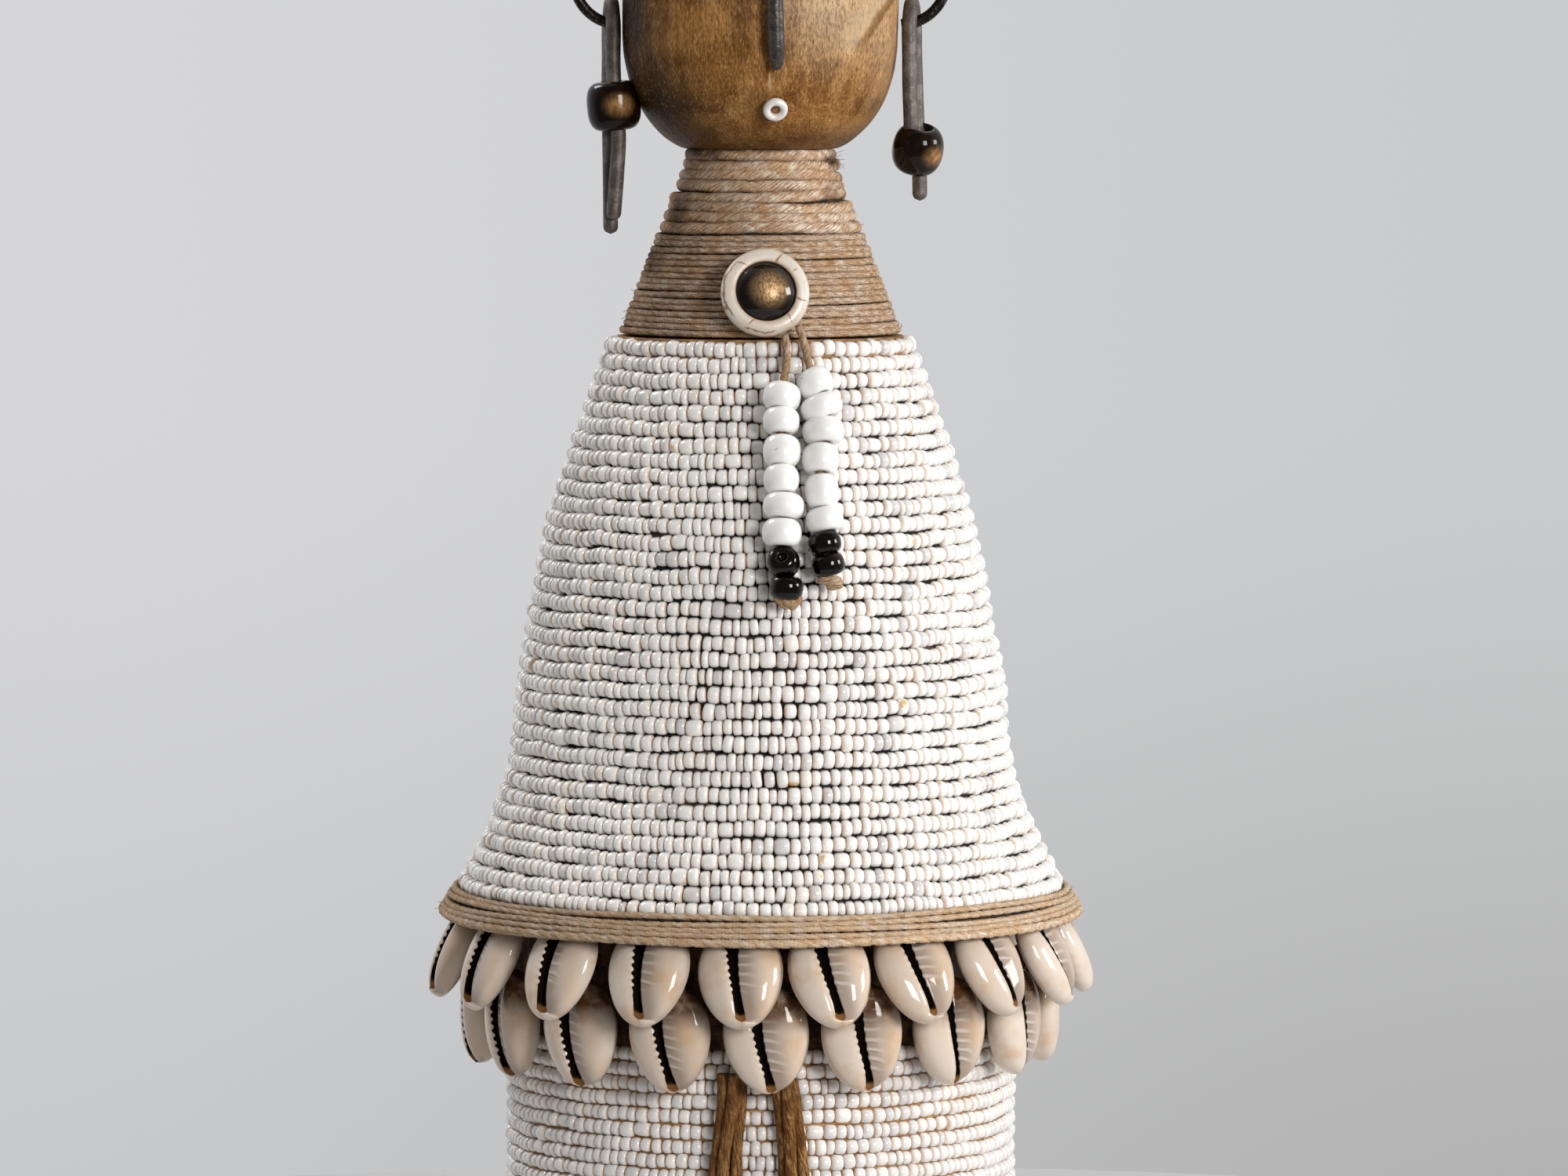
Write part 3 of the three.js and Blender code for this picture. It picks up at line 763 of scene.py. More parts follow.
# Places of each bundle from its top down: to the right and up.
TASSELS = {
    "left": [
        (-4.8, 66.5), (-4.9, 61.3), (-5.8, 54.5), (-6.3, 48.4), (-6.7, 38), (-6.9, 26), (-6.6, 14),
    ],
    "right": [
        (4.5, 65.5), (4.9, 61.3), (5.5, 54.5), (5.9, 48.4), (6.1, 40), (5.8, 28), (6.0, 16),
    ],
}
TASSEL_THREAD = 1.15
TASSEL_SPREAD = {"left": 2.15, "right": 1.95}


def make_tassel(label, places):
    path = smooth_path([in_front(x, TASSEL_REACH, z) for x, z in places], step=0.45)
    along = lengths_along(path)
    spread = TASSEL_SPREAD[label] * (0.8 + 0.2 * along / along[-1])
    bundle = bmesh.new()
    for number, side in enumerate((-1, 0, 1)):
        shift = np.zeros_like(path)
        shift[:, 0] = side * spread + 0.28 * np.sin(along / 6.5 + number * 2.1)
        shift[:, 1] = 0.2 * np.sin(along / 9 + number) + (0.35 if side else -0.95)
        centres = (path + shift)[: len(path) - 1 - 3 * number]
        thread = strand(centres, TASSEL_THREAD, 12, twist=0.035, ply=0.12, shift=37 * number)
        pour(bundle, thread)
    x, y, z = path[-1]
    fray = [(x + (i % 9 - 4) * 0.5, y, z + 0.6) for i in range(45)]
    add_hairs(bundle, fray, length=1.6, seed=11)
    rooted = [int(i) for i in np.linspace(4, len(path) - 8, 22)]
    stray = [path[i] + (2.5 * (-1) ** i, -0.3, 0) for i in rooted]
    add_hairs(bundle, stray, length=1.2, seed=12)
    name = f"tassel_{label}"
    piece = finish_piece(bundle, f"{name}_threads", TASSEL_TWINE, name)


for tassel_label, tassel_places in TASSELS.items():
    make_tassel(tassel_label, tassel_places)

# %% [markdown]
# ## Beadwork
# The white beads are short lengths of drawn glass, softened in heat, so each has its own
# width and a rounded edge. They are strung on thread that goes round the doll, row below row.
# Some thousands of beads are placed along closed rings, each a copy of one turned barrel that
# is stretched to its own width and leaned a little.

# %% Seed bead finish
def make_seed_bead(name, brown, white):
    """White glass with a cream or grey tone of its own, dirt, and painted tan light at its ends."""
    glass = Finish(
        name, 0.14, coat_weight=0.2, coat_roughness=0.07, subsurface_weight=0.6,
        subsurface_scale=0.0012, subsurface_radius=(1.0, 0.92, 0.84),
    )
    tone = glass.attribute("tone")
    glass.start(glass.ranged(tone, 0.0, 0.45), (216, 215, 215), white)
    glass.lay(glass.ranged(tone, 0.78, 1.0), (246, 241, 234))
    glass.lay(glass.grime(95, 0.6, 0.76), (222, 204, 182), brown)
    glass.lay(glass.ranged(glass.cloud(210, detail=1.0), 0.765, 0.79), (226, 196, 150))
    patchy = glass.blended(glass.grime(120, 0.35, 0.6), 0.45, 1.0)
    # Painted light: tan at the bead's ends, for light that the thread bounces into the grooves.
    painted_seam = glass.times(glass.ranged(glass.attribute("edge"), 0.3, 1.0), 0.6, patchy)
    glass.lay(painted_seam, (222, 184, 150))
    return glass.done()


SEED_BEAD = make_seed_bead("seed_bead", 0.5, (248, 245, 241))
# A dimmer white for the beads of the cylinder: painted shade under the shells.
SEED_BEAD_IN_SHADE = make_seed_bead("seed_bead_in_shade", 0.6, (232, 229, 226))

# %% Bead rows
# Pairs of radius and place along the hole, for a bead of radius 1 and width 1.
BEAD_OUTLINE = [(0.6, -0.495), (0.87, -0.42), (1, -0.22), (1, 0.22), (0.87, 0.42), (0.6, 0.495)]
BEAD_SIDES = 7
NOTES = ("tone", "edge")
# The sides of a bead crowd towards the viewer, since only its outer half is seen.
EVEN_TURNS = (0, 25.7, 77.1, 128.6, 180)
CROWDED_TURNS = (0, 18, 54, 93, 180)
# Ranges by the share of beads up to each: thin discs, usual beads and long tubes by their width
# in usual ones, and greyish, white and cream beads by their tone from 0 to 1.
WIDTHS = ((0.12, 0.58, 0.76), (0.92, 0.82, 1.18), (1.0, 1.25, 1.7))
TONES = ((0.2, 0.0, 0.4), (0.88, 0.45, 0.75), (1.0, 0.8, 1.0))
# How fast the rows' slow waves change round the doll, and where a second pattern is read.
WAVE_PACE = 5.0
OTHER_WAVE = Vector((7, 7, 7))
ROW_PACE, PARTING_PACE, PARTING_STEP = 0.3, 1.6, 5.3
HOLE_CHANCE, HOLE_WIDTHS = 0.012, (0.3, 0.8)
THINNEST, THICKEST = 0.86, 1.12
LEAN_IN_ROW, LEAN_ASIDE = 0.07, 0.05


class Barrel:
    """One turned bead of unit size, its axis along X, that is stamped many times into a piece.
    Its edge notes are 1 at the hole, less on the bevel and half behind the bead."""

    def __init__(self, outline, sides):
        bm = turned(outline, sides, axis=(1, 0, 0))
        _, edge = [bm.verts.layers.float.new(name) for name in NOTES]
        for vert in bm.verts:
            radius = math.hypot(vert.co.y, vert.co.z)
            even = math.degrees(math.atan2(abs(vert.co.z), -vert.co.y))
            turn = math.radians(float(np.interp(even, EVEN_TURNS, CROWDED_TURNS)))
            vert.co.y = -radius * math.cos(turn)
            vert.co.z = math.copysign(radius * math.sin(turn), vert.co.z)
            at_back = 0.5 * float(turn > 1.6)
            vert[edge] = 1.0 if radius < 0.8 else 0.62 if radius < 0.9 else at_back
        self.mesh = bpy.data.meshes.new("barrel")
        bm.to_mesh(self.mesh)
        bm.free()
        self.base = np.array([vert.co[:] for vert in self.mesh.vertices])

    def stamp(self, bm, matrix, tone):
        spots = self.base @ np.array(matrix.to_3x3()).T + np.array(matrix.translation)
        self.mesh.vertices.foreach_set("co", spots.astype(np.float32).ravel())
        tones = np.full(len(spots), tone, np.float32)
        self.mesh.attributes["tone"].data.foreach_set("value", tones)
        bm.from_mesh(self.mesh)


def drawn(dice, ranges):
    """A value from the first range whose share of all draws reaches this one."""
    draw = dice.random()
    low, high = next((low, high) for share, low, high in ranges if draw <= share)
    return dice.uniform(low, high)


def row_of_widths(dice, size, around):
    """Widths and gaps that fill one closed row."""
    beads = []
    reached = 0.0
    while reached < around - 0.4 * size["width"]:
        gap = size["gap"] * dice.uniform(0, 2)
        if dice.random() < HOLE_CHANCE:
            gap += dice.uniform(*HOLE_WIDTHS)
        beads.append((size["width"] * drawn(dice, WIDTHS), gap))
        reached += sum(beads[-1])
    fit = around / reached
    return [(width * fit, gap * fit) for width, gap in beads]


def bead_rows(rows, size, place_at, seed):
    """Closed rows of beads from one row's number up to another's. place_at gives the radius and
    height of each row."""
    bm = bmesh.new()
    for name in NOTES:
        bm.verts.layers.float.new(name)
    dice = random.Random(seed)
    count = 0
    for row in range(*rows):
        radius, height = place_at(row)
        angle = dice.uniform(0, 2 * math.pi)
        for width, gap in row_of_widths(dice, size, 2 * math.pi * radius):
            half = (width + gap) / 2 / radius
            angle += half
            here = (math.cos(angle) * WAVE_PACE, math.sin(angle) * WAVE_PACE, row * ROW_PACE)
            here = Vector(here)
            parting = here * PARTING_PACE + Vector((0, 0, row * PARTING_STEP))
            rise = noise.noise(here) * size["wave"] + dice.gauss(0, size["jitter"])
            rise += noise.noise(parting) * size["part"]
            stand = noise.noise(here + OTHER_WAVE) * size["wave"] + dice.gauss(0, size["jitter"])
            share = min(max(dice.gauss(1, size["spread"]), THINNEST), THICKEST)
            half_thick = size["thickness"] * share / 2
            place = Matrix.Rotation(angle, 4, "Z")
            place = place @ Matrix.Translation((0, -radius - stand, height + rise))
            lean = Matrix.Rotation(dice.gauss(0, LEAN_IN_ROW), 4, "Y")
            lean = lean @ Matrix.Rotation(dice.gauss(0, LEAN_ASIDE), 4, "Z")
            grow = Matrix.Diagonal((width, half_thick, half_thick, 1))
            BARREL.stamp(bm, place @ lean @ grow, drawn(dice, TONES))
            angle += half
            count += 1
    print("beads:", count)
    return bm


def bead_bands(bands, label, size, place_at, finish, node, seed):
    """One piece for each band of rows."""
    for number, (band, rows) in enumerate(bands.items()):
        beads = bead_rows(rows, size, place_at, seed + number)
        finish_piece(beads, f"{label}_{band}", finish, node)


BARREL = Barrel(BEAD_OUTLINE, BEAD_SIDES)

# %% [markdown]
# ### Cape beads
# The cape has 35 rows at even distances along its slope. Its beads lie on the cone with their
# backs in the cloth under them, which is painted near black as shade and shows as black holes
# between smaller beads.

# %% Cape beads
CAPE_ROWS = 35
CAPE_BEAD = {
    "width": 1.92, "thickness": 3.08, "gap": 0.01, "wave": 0.34, "part": 0.32, "jitter": 0.08,
    "spread": 0.065,
}
cape_heights = np.linspace(CAPE_TOP, CAPE_BOTTOM, 400)
cape_run = lengths_along(np.column_stack([cape_radius(cape_heights), cape_heights]))


def cape_place(row):
    """Radius and height of a row's middle, half a bead inside the cape's slope."""
    height = float(np.interp((row + 0.5) / CAPE_ROWS * cape_run[-1], cape_run, cape_heights))
    slope = math.atan(float(cape_radius(height - 0.5) - cape_radius(height + 0.5)))
    depth = CAPE_BEAD["thickness"] / 2
    middle = height - 0.6 * depth * math.sin(slope)
    return float(cape_radius(height)) - depth * math.cos(slope), middle


CAPE_BANDS = {"upper": (0, 13), "middle": (13, 24), "lower": (24, 35)}
bead_bands(CAPE_BANDS, "cape_beads", CAPE_BEAD, cape_place, SEED_BEAD, "cape_beadwork", 100)

# %% [markdown]
# ### Beads of the cylinder
# Below the shells the beads are a little smaller, and a brown thread shows between their rows.
# They end behind the lower shells, where the photograph is dark. Their glass is a dimmer white,
# as painted shade under the shells.

# %% Cylinder beads
BASE_TOP = 8.3
CYLINDER_PITCH = 2.7
CYLINDER_ROWS = 23
CYLINDER_BEAD = {
    "width": 2.0, "thickness": 2.78, "gap": 0.02, "wave": 0.28, "part": 0.12, "jitter": 0.05,
    "spread": 0.05,
}


def cylinder_place(row):
    height = BASE_TOP + CYLINDER_PITCH * (CYLINDER_ROWS - 0.5 - row)
    return BODY_RADIUS - CYLINDER_BEAD["thickness"] / 2, height


CYLINDER_BANDS = {"upper": (0, 12), "lower": (12, 23)}
bead_bands(
    CYLINDER_BANDS, "cylinder_beads", CYLINDER_BEAD, cylinder_place, SEED_BEAD_IN_SHADE,
    "body_beadwork", 200,
)

# %% [markdown]
# ### Cloth and thread behind the beads
# A lining closes the cape and the cylinder behind their beads, so that nothing shows through
# the gaps. It is painted near black, as shade in the holes between the beads. Near the neck and
# on the cylinder the brown thread covers it.

# %% Linings
CAPE_LINING_DEPTH = 1.8
CYLINDER_LINING_DEPTH = 1.15
CYLINDER_LINING_HEIGHTS = (BASE_TOP, 50, 95.0)


def make_lining_finish():
    cloth = Finish("lining_thread", 0.9)
    height = cloth.parts(cloth.place)["Z"]
    high = cloth.ranged(height, 0.186, 0.194)
    low = cloth.ranged(height, 0.072, 0.066)
    threads = cloth.cloud((300, 300, 3200))
    brown = cloth.mixed(cloth.ranged(threads, 0.35, 0.65), (110, 72, 34), (178, 136, 88))
    soot = cloth.mixed(cloth.grime(400, 0.4, 0.7), (40, 23, 9), (104, 68, 34))
    # Painted shade: a near-black ground that shows in the holes between beads, with brown patches.
    cloth.start(cloth.grime(130, 0.55, 0.75), (12, 9, 7), (92, 66, 42))
    sooty = cloth.math("SUBTRACT", cloth.ranged(height, 0.098, 0.094), low, clamp=True)
    cloth.lay(sooty, soot)
    cloth.lay(cloth.math("ADD", high, low, clamp=True), brown)
    return cloth.done(threads, 0.0004, 0.8)


LINING = make_lining_finish()


def make_lining(name, wall, node):
    """A closed solid inside a wall of pairs of radius and height."""
    bm = turned([(0, wall[0][1]), *wall, (0, wall[-1][1])], sides=96)
    finish_piece(bm, name, LINING, node, sharp=40)


cape_wall = [
    (float(cape_radius(height)) - CAPE_LINING_DEPTH, height)
    for height in np.linspace(CAPE_BOTTOM, CAPE_TOP, 40)
]
cylinder_wall = [
    (BODY_RADIUS - CYLINDER_LINING_DEPTH, height) for height in CYLINDER_LINING_HEIGHTS
]
make_lining("cape_lining", cape_wall, "cape_beadwork")
make_lining("cylinder_lining", cylinder_wall, "body_beadwork")

# %% [markdown]
# ## Twine on the neck and the hem
# The neck is wound twice: a fine thread below in sixteen close turns, and a thick one above
# in eight uneven turns that press on each other. Their turns lie level and step down at the
# back, and their height wanders by a sum of slow waves, as a hand winds it. The hem is five
# threads that go once round the foot of the cape, each a little further out than the last.

# %% Wound twine
# The share of each turn in which it steps down, and the stretch of the neck that each has.
STEP_PART = 0.18
NECK_BOTTOM, NECK_CHANGE, NECK_TOP = 196.2, 214.5, 229.9
FINE_WRAPS = {"turns": 16, "thickness": 1.36, "uneven": 0.13, "step": 0.6, "seed": 21}
THICK_WRAPS = {"turns": 8, "thickness": 2.15, "uneven": 0.2, "step": 0.5, "seed": 32}
FINE_THREAD, THICK_THREAD = 0.7, 1.22
FINE_HAIRS, THICK_HAIRS = 110, 190
# Hairs start a little outside the middle of their thread.
HAIR_ROOT = 1.02
# A tuft of loose fibres under the chin's right side.
NECK_TUFT = (12.2, -5.5, 228.2)
CORE_DEPTH = 1.5
# Dark spots on the neck, with painted shadow under the chin: middle, half sizes and strength.
NECK_DARK_SPOTS = [
    ((-20.6, -4, 211), (2.2, 9, 6), 0.95), ((-15, -9, 219), (3.5, 8, 6), 0.6),
    ((-10, -9, 229.2), (6, 9, 1.6), 0.8), ((13, -8, 222), (3, 8, 4), 0.4),
    ((0, -14, 230), (16, 6, 1.1), 0.7),
]
NECK_TWINE = make_twine(
    "neck_twine", (164, 118, 76), (240, 216, 182), (254, 246, 230), 0.16, 0.36, (0.95, 0.3),
    NECK_DARK_SPOTS,
)
HEM_TWINE = make_twine(
    "hem_twine", (204, 160, 114), (254, 234, 202), (255, 250, 238), 0.11, 0.22, (0.42, 0.25)
)


def make_dark_twine():
    twine = Finish("twine_in_shade", 0.95)
    twine.start(twine.grime(500), (28, 17, 9), (70, 47, 26))
    return twine.done()


LINING_DARK = make_dark_twine()


def wander(angles, size, seed):
    """A slow uneven wave round the doll, of five plain ones."""
    dice = random.Random(seed)
    ranges = ((0.4, 3.1), (0, 6.28), (0.3, 1))
    waves = [[dice.uniform(*ends) for ends in ranges] for _ in range(5)]
    total = sum(share * np.sin(angles * pace + start) for pace, start, share in waves)
    return size * total / 1.6


def winding(top, bottom, turns, thickness, uneven, step, seed):
    """Centres of a thread wound down the neck from its back."""
    middle = float(neck_radius((top + bottom) / 2))
    count = round(turns * 2 * math.pi * middle / step)
    reached = np.linspace(0, turns, count + 1)
    angles = (reached + 0.5) * 2 * math.pi
    levels = np.floor(reached) + np.clip((reached % 1 - 1 + STEP_PART) / STEP_PART, 0, 1)
    pitch = (top - bottom - thickness) / (turns - 1)
    heights = top - thickness / 2 - np.minimum(levels, turns - 1) * pitch
    heights = heights + wander(angles, uneven * pitch, seed)
    heights = np.clip(heights, bottom + thickness / 2, top - thickness / 2)
    radii = neck_radius(heights) - thickness / 2 + wander(angles * 1.7, 0.1 * thickness, seed + 1)
    return around_axis(radii, angles, heights)


def make_neck():
    fine = winding(NECK_CHANGE + 0.1, NECK_BOTTOM, **FINE_WRAPS)
    thick = winding(NECK_TOP, NECK_CHANGE, **THICK_WRAPS)
    bm = strand(fine, FINE_THREAD, sides=8, twist=0.17, ply=0.1)
    pour(bm, strand(thick, THICK_THREAD, sides=12, twist=0.06, ply=0.14, shift=900))
    dice = random.Random(8)
    roots = dice.sample(list(fine), FINE_HAIRS) + dice.sample(list(thick), THICK_HAIRS)
    roots = [Vector(root) * HAIR_ROOT for root in roots]
    roots = [(root.x, root.y, root.z / HAIR_ROOT) for root in roots]
    add_hairs(bm, roots, length=1.3, seed=3)
    x, y, z = NECK_TUFT
    tuft = [(x + 0.25 * (i % 6), y - 0.3 * (i % 4), z - 0.25 * (i % 5)) for i in range(60)]
    add_hairs(bm, tuft, length=2.0, seed=4)
    finish_piece(bm, "neck_winding", NECK_TWINE, "neck_twine")
    heights = np.linspace(NECK_BOTTOM, NECK_TOP, 12)
    wall = [(float(neck_radius(height)) - CORE_DEPTH, height) for height in heights]
    core = turned([(0, NECK_BOTTOM), *wall, (0, NECK_TOP)], sides=48)
    finish_piece(core, "neck_core", LINING_DARK, "neck_twine", sharp=40)


make_neck()

# %% Hem
# Height of the middle, radius of the outer side and radius of the thread, from the top down.
HEM_THREADS = [
    (95.0, 56.55, 0.66), (94.0, 57.35, 0.62), (93.0, 57.95, 0.64), (92.05, 58.45, 0.62),
    (90.9, 58.95, 0.9),
]
HEM_STEPS = 600
HEM_HAIRS = 130
HEM_BAND_INNER = 54.2


def make_hem():
    angles = np.linspace(0, 2 * math.pi, HEM_STEPS) + math.pi
    bm = bmesh.new()
    bm.verts.layers.float.new("sunk")
    for number, (height, reach, radius) in enumerate(HEM_THREADS):
        centre = reach - radius + wander(angles * 3, 0.07, 50 + number) * np.sin(angles / 2)
        rise = wander(angles * 2, 0.22, 60 + number) * np.abs(np.cos(angles / 2))
        loop = around_axis(centre, angles, height + rise)
        loop[-1] = loop[0]
        shift = 400 * number
        pour(bm, strand(loop, radius, sides=8, twist=0.17, ply=0.2, closed=True, shift=shift))
    dice = random.Random(9)
    for hair in range(HEM_HAIRS):
        turn = dice.uniform(0, 2 * math.pi)
        height, reach, _ = dice.choice(HEM_THREADS)
        root = (reach * math.sin(turn), -reach * math.cos(turn), height)
        add_hairs(bm, [root], length=1.1, seed=hair)
    finish_piece(bm, "hem_winding", HEM_TWINE, "hem_twine")
    (top, top_reach, _), (foot, foot_reach, _) = HEM_THREADS[0], HEM_THREADS[-1]
    inner = HEM_BAND_INNER
    band = turned([
        (inner, foot - 0.3), (foot_reach - 0.9, foot - 0.3), (foot_reach - 0.95, foot + 0.2),
        (top_reach - 0.95, top + 0.2), (inner, top + 0.3), (inner, foot - 0.3),
    ], sides=96)
    finish_piece(band, "hem_band", LINING_DARK, "hem_twine", sharp=40)


make_hem()

# %% [markdown]
# ## Cowrie shells
# A cowrie is an egg shape with a long slit on its flat side. Both lips carry teeth: short ones
# that bite into the slit on the left lip, and long low ridges on the right, which slopes down
# to the slit. One function rolls a grid into the shell, with its points crowded at the slit.
# It also notes on each point how far it lies from the slit's edge and how far along the shell.
# The finish reads these lengths and draws the teeth, the slit in near black as painted shade, and
# painted shade in the hollows beside the slit, so that they stay sharp without a dense mesh.

# %% Shell finish
LEFT_PITCH, RIGHT_PITCH = 1.38, 1.75
LEFT_BITE, RIGHT_BITE = 0.3, 0.1


def make_shell_finish():
    shell = Finish("cowrie", 0.13, coat_weight=0.6, coat_roughness=0.05, ior=1.15)
    names = ("away", "along", "right", "toothed", "tone", "brown", "foot")
    away, along, right, toothed, tone, brown, foot = (shell.attribute(name) for name in names)

    def by_side(left_value, right_value):
        return shell.blended(right, left_value, right_value)

    def ridges(pitch):
        """Waves from 0 to 1 along a lip, with their pitch in mm."""
        turned_by = shell.math("MULTIPLY", shaken, 2 * math.pi / pitch)
        return shell.ranged(shell.math("SINE", turned_by), -0.95, 0.95)

    shaken = shell.math("ADD", along, shell.math("MULTIPLY", shell.cloud(330, detail=1.0), 0.7))
    teeth = shell.times(by_side(ridges(LEFT_PITCH), ridges(RIGHT_PITCH)), toothed)
    bite = shell.times(teeth, by_side(LEFT_BITE, RIGHT_BITE))
    slit = shell.ranged(shell.math("ADD", away, bite), 0.05, -0.07)
    reach = by_side(shell.ranged(away, 1.1, 0.1), shell.ranged(away, 3.4, 0.8))
    ridge = shell.times(shell.math("POWER", teeth, by_side(1.4, 2.6), clamp=True), reach)
    left = shell.math("SUBTRACT", 1.0, right, clamp=True)
    hollow = shell.math("SUBTRACT", 1.0, teeth, clamp=True)
    left_hollow_shade = shell.times(shell.ranged(away, 1.0, 0.1), left, hollow)
    right_hollow_shade = shell.times(shell.ranged(away, 5.2, 0.2), right)
    belt = shell.times(shell.ranged(away, 2.0, 4.8), shell.ranged(away, 8.0, 5.0), right)
    patchy = shell.times(brown, shell.blended(shell.grime(330, 0.25, 0.6), 0.55, 1.0))
    shell.start(tone, (208, 191, 174), (226, 213, 200))
    shell.lay(shell.grime(170, 0.45, 0.72), (208, 180, 152))
    shell.lay(belt, (198, 162, 126), 0.36)
    # Painted shade on the right lip's slope into the slit and between the left teeth.
    shell.lay(right_hollow_shade, (142, 124, 110), 0.8)
    shell.lay(left_hollow_shade, (178, 138, 102), 0.25)
    shell.lay(shell.times(ridge, by_side(0.2, 0.45)), (226, 216, 206))
    # Painted shade: dark brown on the tops of shells that lie under others.
    shell.lay(patchy, (84, 52, 25))
    # The slit is painted near black as shade, and brown at its foot.
    shell.lay(slit, shell.mixed(foot, (8, 4, 2), (118, 80, 44)))
    raised = shell.times(ridge, by_side(0.3, 0.6))
    raised = shell.math("ADD", raised, shell.times(shell.cloud(240, detail=1.0), 0.35))
    rough, coat = (shell.ranged(slit, 0.0, 1.0, *ends) for ends in ((0.13, 0.8), (0.6, 0.0)))
    return shell.done(raised, 0.00032, roughness=rough, coat_weight=coat)


SHELL_FINISH = make_shell_finish()

# %% Shell shape
SHELL_LENGTH = 19.5
SHELL_AROUND = 26
SHELL_ALONG = 52
# From the slit to the flank: multiples of the slit's half width, then shares of the rest.
SLIT_SHARE = np.array([0, 0.66, 1, 1, 1, 1, 1, 1, 1, 1, 1])
REST_SHARE = np.array([0, 0, 0, 0.05, 0.12, 0.22, 0.36, 0.53, 0.72, 0.9, 1.0])
BACK_STEPS = SHELL_AROUND // 2 - (len(REST_SHARE) - 1)
# Along the shell from its foot at -1 to its top at 1: the slit's width and its middle in mm.
slit_width = smooth_curve([
    (-1, 0), (-0.92, 0), (-0.87, 0.8), (-0.78, 0.88), (-0.6, 0.8), (-0.35, 0.84), (-0.1, 0.94),
    (0.2, 1.04), (0.5, 1.24), (0.8, 1.32), (0.93, 0.5), (1, 0),
])
slit_middle = smooth_curve([
    (-1, 0.3), (-0.8, 0.05), (-0.5, -0.5), (-0.2, -1.05), (0.2, -1.45), (0.6, -1.55), (1, -1.2),
])
# How deep the points of the slit's first three steps lie under its edge.
SLIT_DEPTHS = np.array([1.5, 0.4, 0.05, 0.0])


def cowrie(width, front, back, dice, top_shade, slit_reach, last_tooth):
    """One shell with its length along Y and its slit side towards +Z."""
    gape = dice.uniform(0.92, 1.14)
    bend = dice.uniform(0.75, 1.15)
    sway = dice.uniform(-0.35, 0.35)
    start = dice.uniform(0, 9)
    notes = {}

    def place(around, along):
        """Points by their shares round the shell from its slit, and along it from its foot."""
        s = 2 * along - 1
        t = np.sign(s) * (1 - (1 - np.abs(s)) ** 1.35)
        half = width / 2 * np.sqrt(1 - t**2) * (1 + 0.11 * t)
        full = np.clip(1 - t**2, 0, 1) ** 0.36
        side = np.where(around <= 0.5, 1, -1)
        step = np.rint(np.where(side > 0, around, 1 - around) * SHELL_AROUND).astype(int)
        on_front = step < len(REST_SHARE)
        index = np.minimum(step, len(REST_SHARE) - 1)
        on_slit = np.where(t < 0, t * slit_reach, t)
        edge = np.minimum(gape * np.maximum(slit_width(on_slit), 0.02), 0.7 * half)
        openness = np.clip(edge / 0.5, 0, 1)
        foot = np.clip((-0.75 - on_slit) / 0.05, 0, 1)
        middle = np.clip(bend * slit_middle(t) + sway, -0.55 * half, 0.55 * half)
        rest = np.maximum(half - side * middle - edge, 0.06 * half)
        x = middle + side * (edge * SLIT_SHARE[index] + rest * REST_SHARE[index])
        back_turn = np.clip((step - len(REST_SHARE) + 1) / BACK_STEPS, 0, 1) * math.pi / 2
        x = np.where(on_front, x, side * half * np.cos(back_turn))
        dome = np.sqrt(np.clip(1 - (x / np.maximum(half, 0.001)) ** 2, 0, 1)) ** 0.85
        away = np.where(on_front, rest * REST_SHARE[index], 9.0)
        sunk = SLIT_DEPTHS[np.minimum(step, 3)] * on_front * openness
        right_slope = 0.95 * np.exp(-((away / 2.3) ** 2))
        left_slope = 0.35 * np.exp(-((away / 0.6) ** 2))
        slope = np.where(step == 0, 0.65, np.where(side > 0, right_slope, left_slope))
        z = front * full * dome - (slope * openness + sunk * (1 - 0.75 * foot)) * on_front
        z = np.minimum(z, front)
        z = np.where(on_front, z, -back * full * np.sin(back_turn))
        inward = edge * (SLIT_SHARE[index] - 1)
        notes["away"] = np.where(step < 2, inward, away)
        fan = np.where(side > 0, away * (0.2 - 0.34 * t), 0) * on_front
        notes["along"] = t * SHELL_LENGTH / 2 + start + fan
        notes["right"] = np.where(step == 0, 0.5, side > 0) * openness
        below_top = np.clip((0.9 - t) / 0.1, 0, 1)
        notes["toothed"] = below_top * np.clip((t - last_tooth) / 0.2, 0, 1)
        notes["foot"] = foot
        # Painted shade on the shell's top, where it lies under the hem or the row above.
        notes["brown"] = np.clip((t - 0.12) / 0.4, 0, 1) * top_shade
        return np.column_stack([x, t * SHELL_LENGTH / 2, z])

    bm = bmesh.new()
    bmesh.ops.create_grid(bm, x_segments=SHELL_AROUND, y_segments=SHELL_ALONG, size=0.5)
    grid = np.array([vert.co[:2] for vert in bm.verts]) + 0.5
    spots = place(grid[:, 0], grid[:, 1])
    layers = {name: bm.verts.layers.float.new(name) for name in (*notes, "tone")}
    tone = dice.uniform(0, 1)
    for number, vert in enumerate(bm.verts):
        vert.co = spots[number]
        for name, layer in layers.items():
            vert[layer] = tone if name == "tone" else notes[name][number]
    return close_up(bm, SHELL_WELD)


# %% Shell rows
UPPER_COUNT, LOWER_COUNT = 19, 17


# The angle of each shell from the front in degrees: even steps and a slow wave, so that the
# shells in front lie where the photograph has them.
def upper_angle(index):
    wave = math.cos(4 * math.pi * (index + 1.6) / UPPER_COUNT)
    return -5.4 + (360 / UPPER_COUNT) * index + 3.9 * wave


def lower_angle(index):
    wave = math.sin(4 * math.pi * index / LOWER_COUNT)
    return 1.3 + (360 / LOWER_COUNT) * index - 2.9 * wave


